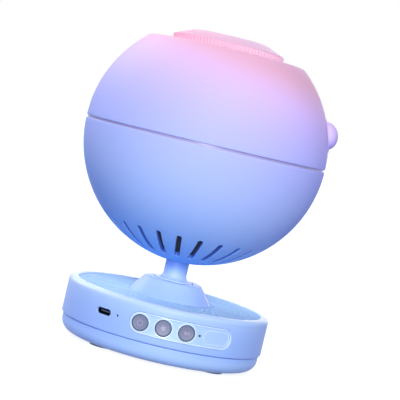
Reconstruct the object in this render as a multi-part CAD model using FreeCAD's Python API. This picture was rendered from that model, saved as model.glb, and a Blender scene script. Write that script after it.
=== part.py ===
"""Planetarium projector: a ball-shaped projector head on a short neck above a round speaker base.

The head holds the lamp, the turning film disc and the projection lens, and the ring on top of it
turns and slides the lens to focus. The head tips back on two pins inside its bottom opening, and
the neck turns in the base. The base holds the battery, the boards, the speaker and three buttons.

The frame: the origin is on the table under the middle of the base, +Z is up and the buttons face
-Y. Lengths are millimetres. Azimuths are degrees from the front (-Y), positive towards +X.
"""
import FreeCAD, Part
import math
import os

Vector = FreeCAD.Vector

# ------------------------------------------------------------------ walls and clearances
WALL = 2.2  # moulded wall of the base and of the head
RUNNING = 0.05  # radial clearance of a shaft in its bore
SLIP = 0.12  # clearance between two pieces that are put together and stay so
FREE = 0.3  # clearance round a piece that moves
BOARD_THICK = 1.6
THREAD_SHORT = 0.4  # an outside thread's depth, by which a plain shank is drawn thinner

# ------------------------------------------------------------------ base: outside
BASE_R = 52.4
BASE_TOP = 29.1
RIM_ROUND = 2.4
RIM_WIDTH = 4.6
GRILLE_SUNK = 0.7
GRILLE_THICK = 1.6
LEDGE_WIDTH = 2.6
LEDGE_THICK = 1.8
PARTING_Z = 10.0
PARTING_GAP = 0.4
PAN_STEP = 1.0  # the pan's wall stands this much inside the housing's
PAN_ROUND = 6.0
LIP_HEIGHT = 2.4
LIP_THICK = 1.6
FOOT_PROUD = 1.0
FOOT_R = 7.0
FOOT_SUNK = 0.8
FOOT_INSET = 14.4  # from the base's side to the middle of each foot
FOOT_AZIMUTHS = (45, 135, 225, 315)

# ------------------------------------------------------------------ base: boss that carries the neck
BOSS_RISE = 8.4  # above the rim
BOSS_TOP_R = 14.7
BOSS_FOOT_R = 21.5
BOSS_ROUND = 1.2
BOSS_FLANGE = 2.9  # width of the ledge under the grille's inner edge
RECESS_DEPTH = 1.0
FOOT_GROOVE = 0.6  # groove seen round the neck's foot
BEARING_LENGTH = 13.6
BEARING_WALL = 3.15
SPOKE_WIDTH = 5.0
SPOKE_AZIMUTHS = (0, 60, 115, -60, -115)
STOP_PEG_WIDTH = 3.3
STOP_TAB_WIDTH = 3.0
STOP_REACH = 2.4
STOP_THICK = 0.9

# ------------------------------------------------------------------ base: grille
HOLE_R = 0.65
HOLE_MARGIN_IN = 3.4  # from the boss's foot to the innermost ring of holes
HOLE_MARGIN_OUT = 4.2  # from the outermost ring of holes to the rim
HOLES_PER_RING = 54
HOLE_RINGS = 9

# ------------------------------------------------------------------ base: front controls
CONTROLS_Z = 19.0
BUTTON_R = 4.0
BUTTON_PITCH = 11.5
BUTTON_PROUD = 0.4
BUTTON_TRAVEL = 0.6
BUTTON_FLANGE = 1.0  # how far and how thick the flange behind the wall is
BUTTON_STEM_R = 1.5
PANEL_HEIGHT = 10.7
PANEL_THICK = 0.8
PANEL_GROOVE = 0.25
PANEL_REACH = 29.57  # from the middle button to the middle of the panel's right round end
STATUS_ASIDE = 6.46  # from the right button's middle to the status light
PIPE_R = 0.55
PIPE_REACH = 4.2  # of the charging light's pipe inside the wall
SWITCH_SIZE = 6.0
SWITCH_HEIGHT = 3.4
SWITCH_PLUNGER_R = 1.6
SWITCH_PLUNGER = 0.5
SWITCH_SETBACK = 9.7  # from the housing's bore to the switch board's face
SWITCH_BOARD_LEFT = -15.5
SWITCH_BOARD_RIGHT = 21.0
SWITCH_BOARD_DROP = 5.5  # from the buttons' middle to the switch board's lower edge
RIB_WIDTH = 3.0

# ------------------------------------------------------------------ base: charging inlet
INLET_AZIMUTH = -35.1
INLET_Z = 19.2
INLET_WIDTH = 8.7
INLET_HEIGHT = 3.2
INLET_SKIN = 1.2  # wall left in front of the receptacle
USB_WIDTH = 8.94
USB_HEIGHT = 3.26
USB_LENGTH = 7.35
USB_MOUTH_WIDTH = 8.34
USB_MOUTH_HEIGHT = 2.56
USB_BACK = 1.0
TONGUE_WIDTH = 6.7
TONGUE_HEIGHT = 0.7
TONGUE_SHORT = 1.1
CHARGE_LIGHT_ASIDE = 8.4  # from the inlet's middle to the charging light
CHARGE_LIGHT_Z = 19.3
CHARGE_BOARD_SETBACK = 2.2  # from the housing's bore to the charging board's edge
CHARGE_BOARD_LEFT = 5.5  # the board's reach to either side of the inlet's middle
CHARGE_BOARD_RIGHT = 9.6
CHARGE_BOARD_DEEP = 6.5
CHARGE_TAIL_LEFT = 2.4
CHARGE_TAIL_RIGHT = 6.0
CHARGE_TAIL_DEEP = 15.0
CHARGE_LIGHT_SIZE = 2.0
CHARGE_LIGHT_SETBACK = 2.0
CHARGE_CHIP_SIZE = 4.0
CHARGE_CHIP_SETBACK = 8.0
CHARGE_CHIP_THICK = 1.2

# ------------------------------------------------------------------ base: inside
POST_R = 4.6
HOUSING_POST_R = 3.5
POST_JOINT = 3.0  # the posts meet this much above the parting line
SCREW_R = 1.3
SCREW_HEAD_R = 2.7
SCREW_HEAD = 1.9
SCREW_LENGTH = 13.0
YOKE_SCREW = 8.0
CHASSIS_SCREW = 9.0
TOWER_SCREW_GRIP = 7.0  # of the tower's screws in its legs
PILOT_DEPTH = 9.0  # of the holes that the short screws cut their thread in
BALLAST_INSET = 16.4
BALLAST_THICK = 3.0
BOARD_INSET = 12.4  # from the base's side to the battery and to the main board
BATTERY_WIDTH = 27.0
BATTERY_THICK = 9.0
BATTERY_CORNER = 2.0
POST_CLEAR = 0.77  # from the battery's ends to the screw posts
MAIN_BOARD_WIDTH = 26.0
MAIN_BOARD_SHORT = 2.0  # how much shorter than the battery
BOARD_CORNER = 1.0
MAIN_BOARD_LIFT = 4.8  # above the pan's floor
STANDOFF_R = 2.2
STANDOFF_INSET = 2.6
SPEAKER_X = -4.0
SPEAKER_GAP_OUT = 2.2  # from the speaker to the housing's wall
SPEAKER_GAP_IN = 3.8  # from the speaker to the neck's bearing
SPEAKER_DEEP = 13.0
SPEAKER_RIM = 2.4
SPEAKER_FLANGE = 1.8
SPEAKER_TAPER = 1.2
SPEAKER_LEDGE = 1.6  # how far the housing's ring reaches over the speaker's rim
MAGNET_R = 9.5
MAGNET_THICK = 5.0
CONE_THICK = 0.5
CONE_DEEP = 3.4
DUST_CAP_SHARE = 0.36  # of the cone's radius
DUST_CAP_RISE = 1.6
DUST_CAP_ROUND = 0.3  # how much lower the cap is at 0.6 of its radius
# Blocks and cans on the boards: x, y from the board's middle as a share of its half length, size in x
# and y or radius, and height.
MAIN_BLOCKS = ((-3.0, -0.15, 8.0, 10.0, 1.2), (5.5, 0.32, 5.0, 5.0, 1.0), (-5.0, 0.44, 6.0, 6.0, 3.0),
               (-2.0, -0.76, 8.0, 5.0, 4.0), (2.5, 0.78, 7.0, 4.0, 4.0))
MAIN_CANS = ((7.0, -0.05, 2.5, 5.5), (7.0, -0.44, 2.5, 5.5))
DRIVER_BLOCKS = ((-10.5, -0.03, 7.0, 7.0, 3.2), (0.5, -0.19, 7.0, 6.0, 1.1), (1.0, 0.56, 10.0, 4.0, 3.0))
DRIVER_CANS = ((9.0, -0.44, 2.0, 3.2), (9.0, -0.06, 2.0, 3.2))

# ------------------------------------------------------------------ neck
NECK_R = 6.05
NECK_FOOT_R = 9.8
NECK_FOOT_THICK = 1.4
NECK_FLARE_R = 8.5
NECK_FLARE_TOP = 3.6  # above the foot
NECK_BORE_R = 2.6
JOURNAL_R = 7.0
CABLE_R = 2.0
NUT_R = 10.5
NUT_THICK = 4.0

# ------------------------------------------------------------------ head: outside
HEAD_R = 62.5
NECK_GAP = 9.5  # from the boss's top to the ball's lowest point
SEAM = 0.8
SHOULDER_R = 40.3
SHOULDER_ROUND = 0.8
VENTS = 24
VENT_PHASE = -3.5
VENT_LOW = 22.5  # degrees from straight down
VENT_HIGH = 42.0
VENT_WIDTH = 2.4
SCREEN_THICK = 0.6
HEAD_LIP = 2.2
HEAD_LIP_THICK = 1.5

# ------------------------------------------------------------------ head: tilt hinge
PIVOT_RISE = 13.0  # above the ball's lowest point
TILT_MAX = 35.0
KNUCKLE_R = 8.0
KNUCKLE_HALF = 8.5
PIN_R = 2.5
PIN_HEAD_R = 4.5
PIN_HEAD = 1.8
PIN_GRIP = 3.6
WASHER_THICK = 0.5
CHEEK_THICK = 2.5
YOKE_RISE = 9.6  # from the pivot to the yoke's plate
YOKE_THICK = 2.2
YOKE_HALF_X = 20.0
YOKE_HALF_Y = 16.0
YOKE_POST_X = 15.0
YOKE_POST_Y = 11.0
YOKE_POST_R = 2.5
SLOT_SIDE = 0.75  # clearance on either side of the neck in the bottom opening

# ------------------------------------------------------------------ head: lamp
DRIVER_BOARD = (40.0, 32.0)
DRIVER_LIFT = 2.0
CHASSIS_DROP = 1.5  # from the seam to the chassis's underside
CHASSIS_THICK = 2.5
COLUMN_R = 3.2
COLUMN_LENGTH = 26.0
COLUMN_AZIMUTHS = (45, 135, 225, 315)
LAMP_SHARE = 0.25  # from the heat sink's face to the chassis, of the ball's radius
SINK_R = 28.0
SINK_BASE = 2.4
FIN_HEIGHT = 6.0
FIN_THICK = 1.2
FIN_PITCH = 4.0
SINK_PILLAR_R = 2.4
SINK_PILLAR_PITCH_R = 24.0
LED_BOARD_R = 10.0
LED_SIDE = 5.0
LED_THICK = 0.7
LED_DOME_R = 1.6
HOLDER_R = 19.5
CONDENSER_R = 17.0
CONDENSER_EDGE = 2.5
CONDENSER_DOME = 5.0
CONDENSER_DROP = 9.5  # from the chassis to the condenser's seat
LIGHT_HOLE_R = 18.0
AIR_HOLE_R = 4.4  # holes in the chassis that let the warm air rise
AIR_HOLE_AZIMUTHS = (20, 95, 145, 215, 340)

# ------------------------------------------------------------------ head: film drive
GEAR_MODULE = 1.0
FILM_TEETH = 68
PINION_TEETH = 12
BACKLASH = 0.24
PRESSURE_ANGLE = 20.0
GEAR_ADDENDUM = 0.7
PINION_ADDENDUM = 0.85
DEDENDUM = 1.15
HUB_R = 27.0
HUB_WALL = 3.0
HUB_HEIGHT = 5.5
CARRIER_WEB = 1.2
CARRIER_TALL = 8.2
FILM_R = 29.3
FILM_THICK = 0.6
CLIP_WIDTH = 5.0
CLIP_THICK = 0.8
FILM_WINDOW_R = 21.0
MOTOR_R = 10.0
MOTOR_LENGTH = 16.0
MOTOR_SHAFT_R = 1.5

# ------------------------------------------------------------------ head: lens and focus ring
TOWER_RISE = 13.5  # from the chassis's top to the tower's plate
TOWER_THICK = 2.4
TOWER_ARM = 9.0
TOWER_PILLAR_R = 4.0
TOWER_AZIMUTHS = (60, 180, 300)
BARREL_R = 22.2
SLEEVE_WALL = 2.3
BARREL_WALL = 2.3
BARREL_LENGTH = 26.0
BARREL_DROP = 1.3  # from the head's flat top down to the barrel's rim
FOCUS_TRAVEL = 3.0
RING_OVERHANG = 1.9  # of the ribbed band over the skirt
RING_LIFT = 0.3  # gap between the head's flat top and the ring
BAND_HEIGHT = 3.1
RIB_COUNT = 96
RIB_DEPTH = 0.35
MOUTH_INSET = 1.3  # of the ring's mouth inside the barrel's bore
RING_RISE = 4.1  # height of the ring's cone above its ribbed band
RING_SKIN = 1.8
SKIRT_WALL = 2.4
SKIRT_DEPTH = 7.3
KEY_COUNT = 3
KEY_WIDTH = 3.2
KEY_LENGTH = 10.5
CIRCLIP_THICK = 1.0
CIRCLIP_WIDTH = 2.0
CIRCLIP_SUNK = 0.6
FRONT_LENS_EDGE = 3.0
FRONT_LENS_DOME = 3.6
FRONT_SEAT = 10.0  # from the barrel's rim down to the front lens's seat
REAR_LENS_INSET = 3.1  # of its edge inside the barrel's bore
REAR_LENS_EDGE = 2.6
REAR_LENS_DOME = 3.4
REAR_LIP = 1.4
RETAINER_THICK = 2.0

# ------------------------------------------------------------------ head: side button
SIDE_RISE = 16.8  # degrees above level
SIDE_R = 7.2
SIDE_PROUD = 4.9
SIDE_TRAVEL = 1.5
SIDE_FLANGE = 1.4
SIDE_GUIDE_WALL = 1.8
SIDE_GUIDE_LENGTH = 3.3
SIDE_COLLAR_WIDTH = 1.3
SIDE_COLLAR_PROUD = 0.5
SIDE_SKIRT = 4.6  # from the dome's middle to the flange's back
SIDE_PILLAR_R = 2.0
SIDE_PILLAR_ASIDE = 12.0
SIDE_BOARD_HALF = 6.0

# ------------------------------------------------------------------ places worked out from the sizes
GRILLE_TOP = BASE_TOP - GRILLE_SUNK
GRILLE_SEAT = GRILLE_TOP - GRILLE_THICK
DECK_UNDER = GRILLE_SEAT - LEDGE_THICK
HOUSING_BORE = BASE_R - WALL
GRILLE_R = BASE_R - RIM_WIDTH
HOLE_INNER_R = BOSS_FOOT_R + HOLE_MARGIN_IN
HOLE_OUTER_R = GRILLE_R - HOLE_MARGIN_OUT
PAN_R = BASE_R - PAN_STEP
PAN_FLOOR = FOOT_PROUD + WALL
FOOT_PITCH_R = BASE_R - FOOT_INSET
BALLAST_R = BASE_R - BALLAST_INSET
BATTERY_X = BASE_R - BOARD_INSET - BATTERY_WIDTH / 2
BATTERY_LENGTH = 2 * (FOOT_PITCH_R * math.sqrt(0.5) - POST_R - POST_CLEAR)
MAIN_BOARD_X = -(BASE_R - BOARD_INSET - MAIN_BOARD_WIDTH / 2)
MAIN_BOARD = (MAIN_BOARD_WIDTH, BATTERY_LENGTH - MAIN_BOARD_SHORT)
BOARD_BED = PAN_FLOOR + MAIN_BOARD_LIFT
POST_JOINT_Z = PARTING_Z + POST_JOINT
SCREW_SEAT_Z = PAN_FLOOR + SCREW_HEAD + 1.0
BALLAST_TOP = PAN_FLOOR + BALLAST_THICK
BOSS_TOP = BASE_TOP + BOSS_RISE
RECESS_FLOOR = BOSS_TOP - RECESS_DEPTH
RECESS_R = NECK_FOOT_R + FOOT_GROOVE
JOURNAL_BORE = JOURNAL_R + RUNNING
BEARING_R = JOURNAL_BORE + BEARING_WALL
BEARING_BOTTOM = RECESS_FLOOR - BEARING_LENGTH
BOSS_SLOPE = (BOSS_FOOT_R - BOSS_TOP_R) / (BOSS_TOP - GRILLE_TOP)
BOSS_SKIN = WALL * math.hypot(1, BOSS_SLOPE)
STOP_TOP = BEARING_BOTTOM - RUNNING
SWITCH_FACE = HOUSING_BORE - SWITCH_SETBACK
SWITCH_BOARD_LOW = CONTROLS_Z - SWITCH_BOARD_DROP
SWITCH_BOARD_HIGH = DECK_UNDER - FREE
PLUNGER_TIP = SWITCH_FACE + SWITCH_HEIGHT + SWITCH_PLUNGER
BUTTON_X = (-BUTTON_PITCH, 0.0, BUTTON_PITCH)
PANEL_LEFT = -math.degrees(math.asin(BUTTON_PITCH / BASE_R))  # azimuths of the panel's two round ends
PANEL_RIGHT = math.degrees(math.asin(PANEL_REACH / BASE_R))
STATUS_X = BUTTON_PITCH + STATUS_ASIDE
CHARGE_BOARD_TOP = INLET_Z - USB_HEIGHT / 2
CHARGE_BOARD_EDGE = HOUSING_BORE - CHARGE_BOARD_SETBACK
USB_FRONT = BASE_R - INLET_SKIN - SLIP
SPEAKER_TOP = DECK_UNDER - SLIP
SPEAKER_FAR = HOUSING_BORE - SPEAKER_GAP_OUT
SPEAKER_NEAR = BEARING_R + SPEAKER_GAP_IN
SPEAKER_R = (SPEAKER_FAR - SPEAKER_NEAR) / 2
SPEAKER_Y = (SPEAKER_FAR + SPEAKER_NEAR) / 2

HEAD_BORE = HEAD_R - WALL
HEAD_BOTTOM = BOSS_TOP + NECK_GAP
HEAD_Z = HEAD_BOTTOM + HEAD_R
SEAM_LOW = HEAD_Z - SEAM / 2
SEAM_HIGH = HEAD_Z + SEAM / 2
TOP_Z = HEAD_Z + math.sqrt(HEAD_R ** 2 - SHOULDER_R ** 2)
HEAD_LIP_R = HEAD_BORE - SLIP - 0.05
PIVOT_Z = HEAD_BOTTOM + PIVOT_RISE
NECK_SEAT = RECESS_FLOOR + RUNNING
NECK_FOOT_TOP = NECK_SEAT + NECK_FOOT_THICK
NUT_TOP = STOP_TOP - STOP_THICK - RUNNING
NUT_BOTTOM = NUT_TOP - NUT_THICK
CHEEK_IN = KNUCKLE_HALF + WASHER_THICK + 2 * RUNNING
CHEEK_OUT = CHEEK_IN + CHEEK_THICK
YOKE_Z = PIVOT_Z + YOKE_RISE
YOKE_TOP = YOKE_Z + YOKE_THICK
DRIVER_Z = YOKE_TOP + DRIVER_LIFT
CHASSIS_Z = HEAD_Z - CHASSIS_DROP
CHASSIS_TOP = CHASSIS_Z + CHASSIS_THICK
CHASSIS_R = HEAD_LIP_R - HEAD_LIP_THICK - FREE
COLUMN_PITCH_R = CHASSIS_R - 1.0 - COLUMN_R
SINK_FACE = CHASSIS_Z - LAMP_SHARE * HEAD_R
CONDENSER_Z = CHASSIS_Z - CONDENSER_DROP
FILM_PITCH_R = GEAR_MODULE * FILM_TEETH / 2
PINION_PITCH_R = GEAR_MODULE * PINION_TEETH / 2
FILM_TIP_R = FILM_PITCH_R + GEAR_ADDENDUM * GEAR_MODULE
PINION_TIP_R = PINION_PITCH_R + PINION_ADDENDUM * GEAR_MODULE
PINION_X = -(FILM_PITCH_R + PINION_PITCH_R)
CARRIER_Z = CHASSIS_TOP + FREE
HUB_TOP = CHASSIS_TOP + HUB_HEIGHT
FILM_SEAT = HUB_TOP + FREE + CARRIER_WEB
CARRIER_TOP = CARRIER_Z + CARRIER_TALL
TOWER_Z = CHASSIS_TOP + TOWER_RISE
TOWER_REACH = FILM_TIP_R + TOWER_PILLAR_R + 5 * FREE
BARREL_BORE = BARREL_R - BARREL_WALL
SLEEVE_BORE = BARREL_R + RUNNING
SLEEVE_R = BARREL_R + SLEEVE_WALL
SKIRT_R = SLEEVE_R + SKIRT_WALL
RING_R = SKIRT_R + RING_OVERHANG
RING_TOP_R = BARREL_BORE - MOUTH_INSET
RING_Z = TOP_Z + RING_LIFT
BAND_TOP = RING_Z + BAND_HEIGHT
RING_TOP = BAND_TOP + RING_RISE
RING_BORE = SLEEVE_R + RUNNING
SKIRT_BOTTOM = RING_Z - SKIRT_DEPTH
RING_CEILING = BAND_TOP + RING_RISE * (RING_R - SLEEVE_R) / (RING_R - RING_TOP_R) - RING_SKIN
SLEEVE_TOP = RING_CEILING - 2 * FREE
BARREL_TOP = TOP_Z - BARREL_DROP
BARREL_BOTTOM = BARREL_TOP - BARREL_LENGTH
REAR_LENS_R = BARREL_BORE - REAR_LENS_INSET
FRONT_SEAT_Z = BARREL_TOP - FRONT_SEAT
SIDE_CENTRE = HEAD_R + SIDE_PROUD - SIDE_R  # the dome's middle, from the ball's middle
SIDE_FLANGE_BACK = SIDE_CENTRE - SIDE_SKIRT
SIDE_HOLE_R = SIDE_R + FREE
SIDE_SWITCH_TIP = SIDE_FLANGE_BACK - SIDE_TRAVEL - RUNNING
SIDE_BOARD_FACE = SIDE_SWITCH_TIP - SWITCH_PLUNGER - SWITCH_HEIGHT


# ------------------------------------------------------------------ small helpers
def cylinder(radius, low, high, x=0.0, y=0.0):
    """Upright cylinder between two heights."""
    return Part.makeCylinder(radius, high - low, Vector(x, y, low))


def tube(outer, inner, low, high, x=0.0, y=0.0):
    """Upright tube between two heights."""
    return cylinder(outer, low, high, x, y).cut(cylinder(inner, low - 1, high + 1, x, y))


def block(x0, x1, y0, y1, z0, z1):
    """Box between two corners."""
    return Part.makeBox(x1 - x0, y1 - y0, z1 - z0, Vector(x0, y0, z0))


def plate(size, x, y, low, high, corner):
    """Upright plate of size (x, y) round a middle point, with rounded corners."""
    half_x = size[0] / 2
    half_y = size[1] / 2
    body = block(x - half_x, x + half_x, y - half_y, y + half_y, low, high)
    upright = [edge for edge in body.Edges if abs(edge.tangentAt(edge.FirstParameter).z) > 0.9]
    return body.makeFillet(corner, upright)


def turned(outline):
    """Solid of revolution round Z from a closed outline of (radius, height) points."""
    points = [Vector(radius, 0, height) for radius, height in outline]
    face = Part.Face(Part.makePolygon(points + points[:1]))
    return face.revolve(Vector(0, 0, 0), Vector(0, 0, 1), 360)


def prism(outline, low, high, x=0.0, y=0.0):
    """Prism from a closed outline of (x, y) points."""
    points = [Vector(px + x, py + y, low) for px, py in outline]
    return Part.Face(Part.makePolygon(points + points[:1])).extrude(Vector(0, 0, high - low))


def towards_front(radius, near, far, x=0.0, z=0.0):
    """Cylinder along -Y between two distances from the axis."""
    return Part.makeCylinder(radius, far - near, Vector(x, -near, z), Vector(0, -1, 0))


def front_stadium(width, height, near, far, z):
    """Bar with round ends along -Y."""
    half = (width - height) / 2
    middle = block(-half, half, -far, -near, z - height / 2, z + height / 2)
    ends = [towards_front(height / 2, near, far, side * half, z) for side in (-1, 1)]
    return middle.multiFuse(ends).removeSplitter()


def to_azimuth(shape, azimuth):
    """Copy of a shape made at the front, turned to an azimuth."""
    turned_shape = shape.copy()
    turned_shape.rotate(Vector(0, 0, 0), Vector(0, 0, 1), azimuth)
    return turned_shape


def place_at(radius, azimuth):
    """(x, y) of a point at a radius and azimuth."""
    angle = math.radians(azimuth)
    return radius * math.sin(angle), -radius * math.cos(angle)


def round_circles(shape, size, radius, height):
    """Fillet of the circular edges that have a radius and lie at a height."""
    edges = []
    for edge in shape.Edges:
        if isinstance(edge.Curve, Part.Circle):
            same_radius = abs(edge.Curve.Radius - radius) < 0.01
            if same_radius and abs(edge.Curve.Center.z - height) < 0.01:
                edges.append(edge)
    return shape.makeFillet(size, edges)


def slab(low, high):
    """Everything between two heights, wider than the whole object."""
    reach = 2 * HEAD_R
    return block(-reach, reach, -reach, reach, low, high)


def head_ball(radius):
    """Ball round the middle of the head."""
    return Part.makeSphere(radius, Vector(0, 0, HEAD_Z))


def screw(x, y, seat, length, up=1):
    """Pan-head screw: the head's flat side lies at the seat and the shank goes up or down."""
    head = cylinder(SCREW_HEAD_R, 0, SCREW_HEAD)
    shank = cylinder(SCREW_R, 0, length)
    shank.translate(Vector(0, 0, SCREW_HEAD))
    drive = prism([polar(SCREW_R, 60 * side) for side in range(6)], -1, SCREW_HEAD / 2)
    whole = head.fuse(shank).cut(drive)
    whole.translate(Vector(0, 0, -SCREW_HEAD))
    if up < 0:
        whole.rotate(Vector(0, 0, 0), Vector(1, 0, 0), 180)
    whole.translate(Vector(x, y, seat))
    return whole


def polar(radius, degrees):
    """(x, y) of a point at a radius and an angle from +X."""
    return radius * math.cos(math.radians(degrees)), radius * math.sin(math.radians(degrees))


def lens(radius, seat, edge, dome_up, dome_down=0.0):
    """Round lens on the axis: a plain edge between two domes. A dome of 0 is a flat side."""
    body = cylinder(radius, seat, seat + edge)
    for dome, height, way in ((dome_up, seat + edge, 1), (dome_down, seat, -1)):
        if dome > 0:
            ball_r = (radius ** 2 + dome ** 2) / (2 * dome)
            ball = Part.makeSphere(ball_r, Vector(0, 0, height + way * (dome - ball_r)))
            low, high = sorted((height, height + way * dome * 2))
            body = body.fuse(ball.common(cylinder(radius, low, high)))
    return body.removeSplitter()


def tact_switch():
    """Push switch on a board: the board's face is at Z = 0 and the plunger points up."""
    half = SWITCH_SIZE / 2
    body = block(-half, half, -half, half, 0, SWITCH_HEIGHT)
    return body.fuse(cylinder(SWITCH_PLUNGER_R, SWITCH_HEIGHT, SWITCH_HEIGHT + SWITCH_PLUNGER))


# ------------------------------------------------------------------ base
def panel_shape(inner, outer, grow):
    """Curved plate with round ends that follows the base's wall."""
    half = PANEL_HEIGHT / 2 + grow
    span = PANEL_RIGHT - PANEL_LEFT
    low = CONTROLS_Z - half
    band = Part.makeCylinder(outer, 2 * half, Vector(0, 0, low), Vector(0, 0, 1), span)
    band.rotate(Vector(0, 0, 0), Vector(0, 0, 1), PANEL_LEFT - 90)
    ends = [to_azimuth(towards_front(half, inner - 2, outer + 2, 0, CONTROLS_Z), azimuth)
            for azimuth in (PANEL_LEFT, PANEL_RIGHT)]
    whole = band.multiFuse(ends)
    return whole.common(tube(outer, inner, low - 1, CONTROLS_Z + half + 1)).removeSplitter()


def control_holes(grow):
    """Tools for the three button holes and the status light's hole."""
    near = SWITCH_FACE + SWITCH_HEIGHT
    far = BASE_R + 3
    holes = [towards_front(BUTTON_R + grow, near, far, x, CONTROLS_Z) for x in BUTTON_X]
    holes.append(towards_front(PIPE_R + RUNNING, near, far, STATUS_X, CONTROLS_Z))
    return holes


def charge_light_path(radius, near, far):
    """Bar along the charging light's way through the wall."""
    bar = towards_front(radius, near, far, CHARGE_LIGHT_ASIDE, CHARGE_LIGHT_Z)
    return to_azimuth(bar, INLET_AZIMUTH)


def base_wall():
    """Upright wall of the housing with its rim and the ledge under the grille."""
    hole_r = GRILLE_R + SLIP
    ledge_r = hole_r - LEDGE_WIDTH
    wall = turned([
        (HOUSING_BORE, PARTING_Z), (BASE_R, PARTING_Z), (BASE_R, BASE_TOP), (hole_r, BASE_TOP),
        (hole_r, GRILLE_SEAT), (ledge_r, GRILLE_SEAT), (ledge_r, DECK_UNDER), (HOUSING_BORE, DECK_UNDER),
    ])
    wall = round_circles(wall, RIM_ROUND, BASE_R, BASE_TOP)
    return round_circles(wall, RIM_ROUND / 6, hole_r, BASE_TOP)


def boss():
    """Cone in the middle of the base, hollow inside, with the neck's bearing tube."""
    core_top = RECESS_FLOOR - WALL
    core_r = BOSS_TOP_R + BOSS_SLOPE * (BOSS_TOP - core_top) - BOSS_SKIN
    foot_r = BOSS_FOOT_R - BOSS_SKIN
    flange_r = BOSS_FOOT_R + BOSS_FLANGE
    body = turned([
        (JOURNAL_BORE, BEARING_BOTTOM), (BEARING_R, BEARING_BOTTOM), (BEARING_R, core_top),
        (core_r, core_top), (foot_r, GRILLE_TOP), (foot_r, DECK_UNDER), (flange_r, DECK_UNDER),
        (flange_r, GRILLE_SEAT), (BOSS_FOOT_R, GRILLE_SEAT), (BOSS_FOOT_R, GRILLE_TOP),
        (BOSS_TOP_R, BOSS_TOP), (RECESS_R, BOSS_TOP), (RECESS_R, RECESS_FLOOR),
        (JOURNAL_BORE, RECESS_FLOOR),
    ])
    return round_circles(body, BOSS_ROUND, BOSS_TOP_R, BOSS_TOP)


def stop_peg():
    """Peg under the boss that the neck's stop tab meets at either end of the swivel."""
    half = STOP_PEG_WIDTH / 2
    reach = NUT_R + FREE + STOP_REACH + FREE
    hung = block(-half, half, -reach, -(NUT_R + 2 * FREE), STOP_TOP - STOP_THICK - FREE, BEARING_BOTTOM)
    root = block(-half, half, -reach, -(BEARING_R - 0.5), BEARING_BOTTOM, BEARING_BOTTOM + 3 * WALL)
    return hung.fuse(root)


def housing_posts():
    """Screw posts under the ledge, each tied to the wall by a web."""
    posts = []
    for azimuth in FOOT_AZIMUTHS:
        x, y = place_at(FOOT_PITCH_R, azimuth)
        post = cylinder(HOUSING_POST_R, POST_JOINT_Z, GRILLE_SEAT, x, y)
        web = block(-WALL / 2, WALL / 2, -(HOUSING_BORE + WALL / 2), -FOOT_PITCH_R,
                    POST_JOINT_Z, DECK_UNDER + LEDGE_THICK / 2)
        posts.append(post.fuse(to_azimuth(web, azimuth)))
    return posts


def base_housing():
    """Upper casing of the base: wall, ledge, spokes, boss and screw posts in one moulding."""
    ledge_r = GRILLE_R + SLIP - LEDGE_WIDTH
    flange_r = BOSS_FOOT_R + BOSS_FLANGE
    spoke = block(-SPOKE_WIDTH / 2, SPOKE_WIDTH / 2, -(ledge_r + 1), -(flange_r - 1),
                  DECK_UNDER, GRILLE_SEAT)
    pieces = [to_azimuth(spoke, azimuth) for azimuth in SPOKE_AZIMUTHS]
    speaker_ring = tube(SPEAKER_R + WALL, SPEAKER_R - SPEAKER_LEDGE, DECK_UNDER, GRILLE_SEAT,
                        SPEAKER_X, SPEAKER_Y)
    speaker_ring = speaker_ring.cut(cylinder(BOSS_FOOT_R - 1, DECK_UNDER - 1, GRILLE_SEAT + 1))
    speaker_ring = speaker_ring.common(cylinder(HOUSING_BORE + 1, DECK_UNDER, GRILLE_SEAT))
    pieces += [speaker_ring, boss(), stop_peg()] + housing_posts()
    housing = base_wall().multiFuse(pieces).removeSplitter()

    pocket_r = BASE_R - PANEL_THICK - SLIP
    cuts = [panel_shape(pocket_r, BASE_R + 2, PANEL_GROOVE)] + control_holes(FREE)
    cuts.append(to_azimuth(
        front_stadium(INLET_WIDTH, INLET_HEIGHT, HOUSING_BORE - 1, BASE_R + 2, INLET_Z), INLET_AZIMUTH))
    cuts.append(to_azimuth(
        front_stadium(USB_WIDTH + 2 * FREE, USB_HEIGHT + 2 * FREE, HOUSING_BORE - 4,
                      BASE_R - INLET_SKIN, INLET_Z), INLET_AZIMUTH))
    cuts.append(charge_light_path(PIPE_R + RUNNING, HOUSING_BORE - 4, BASE_R + 2))
    for azimuth in FOOT_AZIMUTHS:
        x, y = place_at(FOOT_PITCH_R, azimuth)
        cuts.append(cylinder(SCREW_R + RUNNING, POST_JOINT_Z - 1, SCREW_SEAT_Z + SCREW_LENGTH + 1, x, y))
    return housing.cut(Part.makeCompound(cuts))


def grille_plate():
    """Perforated plate round the boss. The rings of holes are staggered by half a pitch."""
    outline = [Part.Wire(Part.Circle(Vector(0, 0, GRILLE_SEAT), Vector(0, 0, 1), GRILLE_R).toShape())]
    inner_r = BOSS_FOOT_R + SLIP
    outline.append(Part.Wire(Part.Circle(Vector(0, 0, GRILLE_SEAT), Vector(0, 0, 1), inner_r).toShape()))
    growth = (HOLE_OUTER_R / HOLE_INNER_R) ** (1 / (HOLE_RINGS - 1))
    for ring in range(HOLE_RINGS):
        radius = HOLE_INNER_R * growth ** ring
        for hole in range(HOLES_PER_RING):
            x, y = polar(radius, 360 * (hole + ring / 2) / HOLES_PER_RING)
            circle = Part.Circle(Vector(x, y, GRILLE_SEAT), Vector(0, 0, 1), HOLE_R)
            outline.append(Part.Wire(circle.toShape()))
    return Part.Face(outline, "Part::FaceMakerBullseye").extrude(Vector(0, 0, GRILLE_THICK))


def control_panel():
    """Thin curved panel round the buttons."""
    outer = BASE_R - RUNNING
    panel = panel_shape(outer - PANEL_THICK, outer, 0)
    return panel.cut(Part.makeCompound(control_holes(FREE)))


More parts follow.
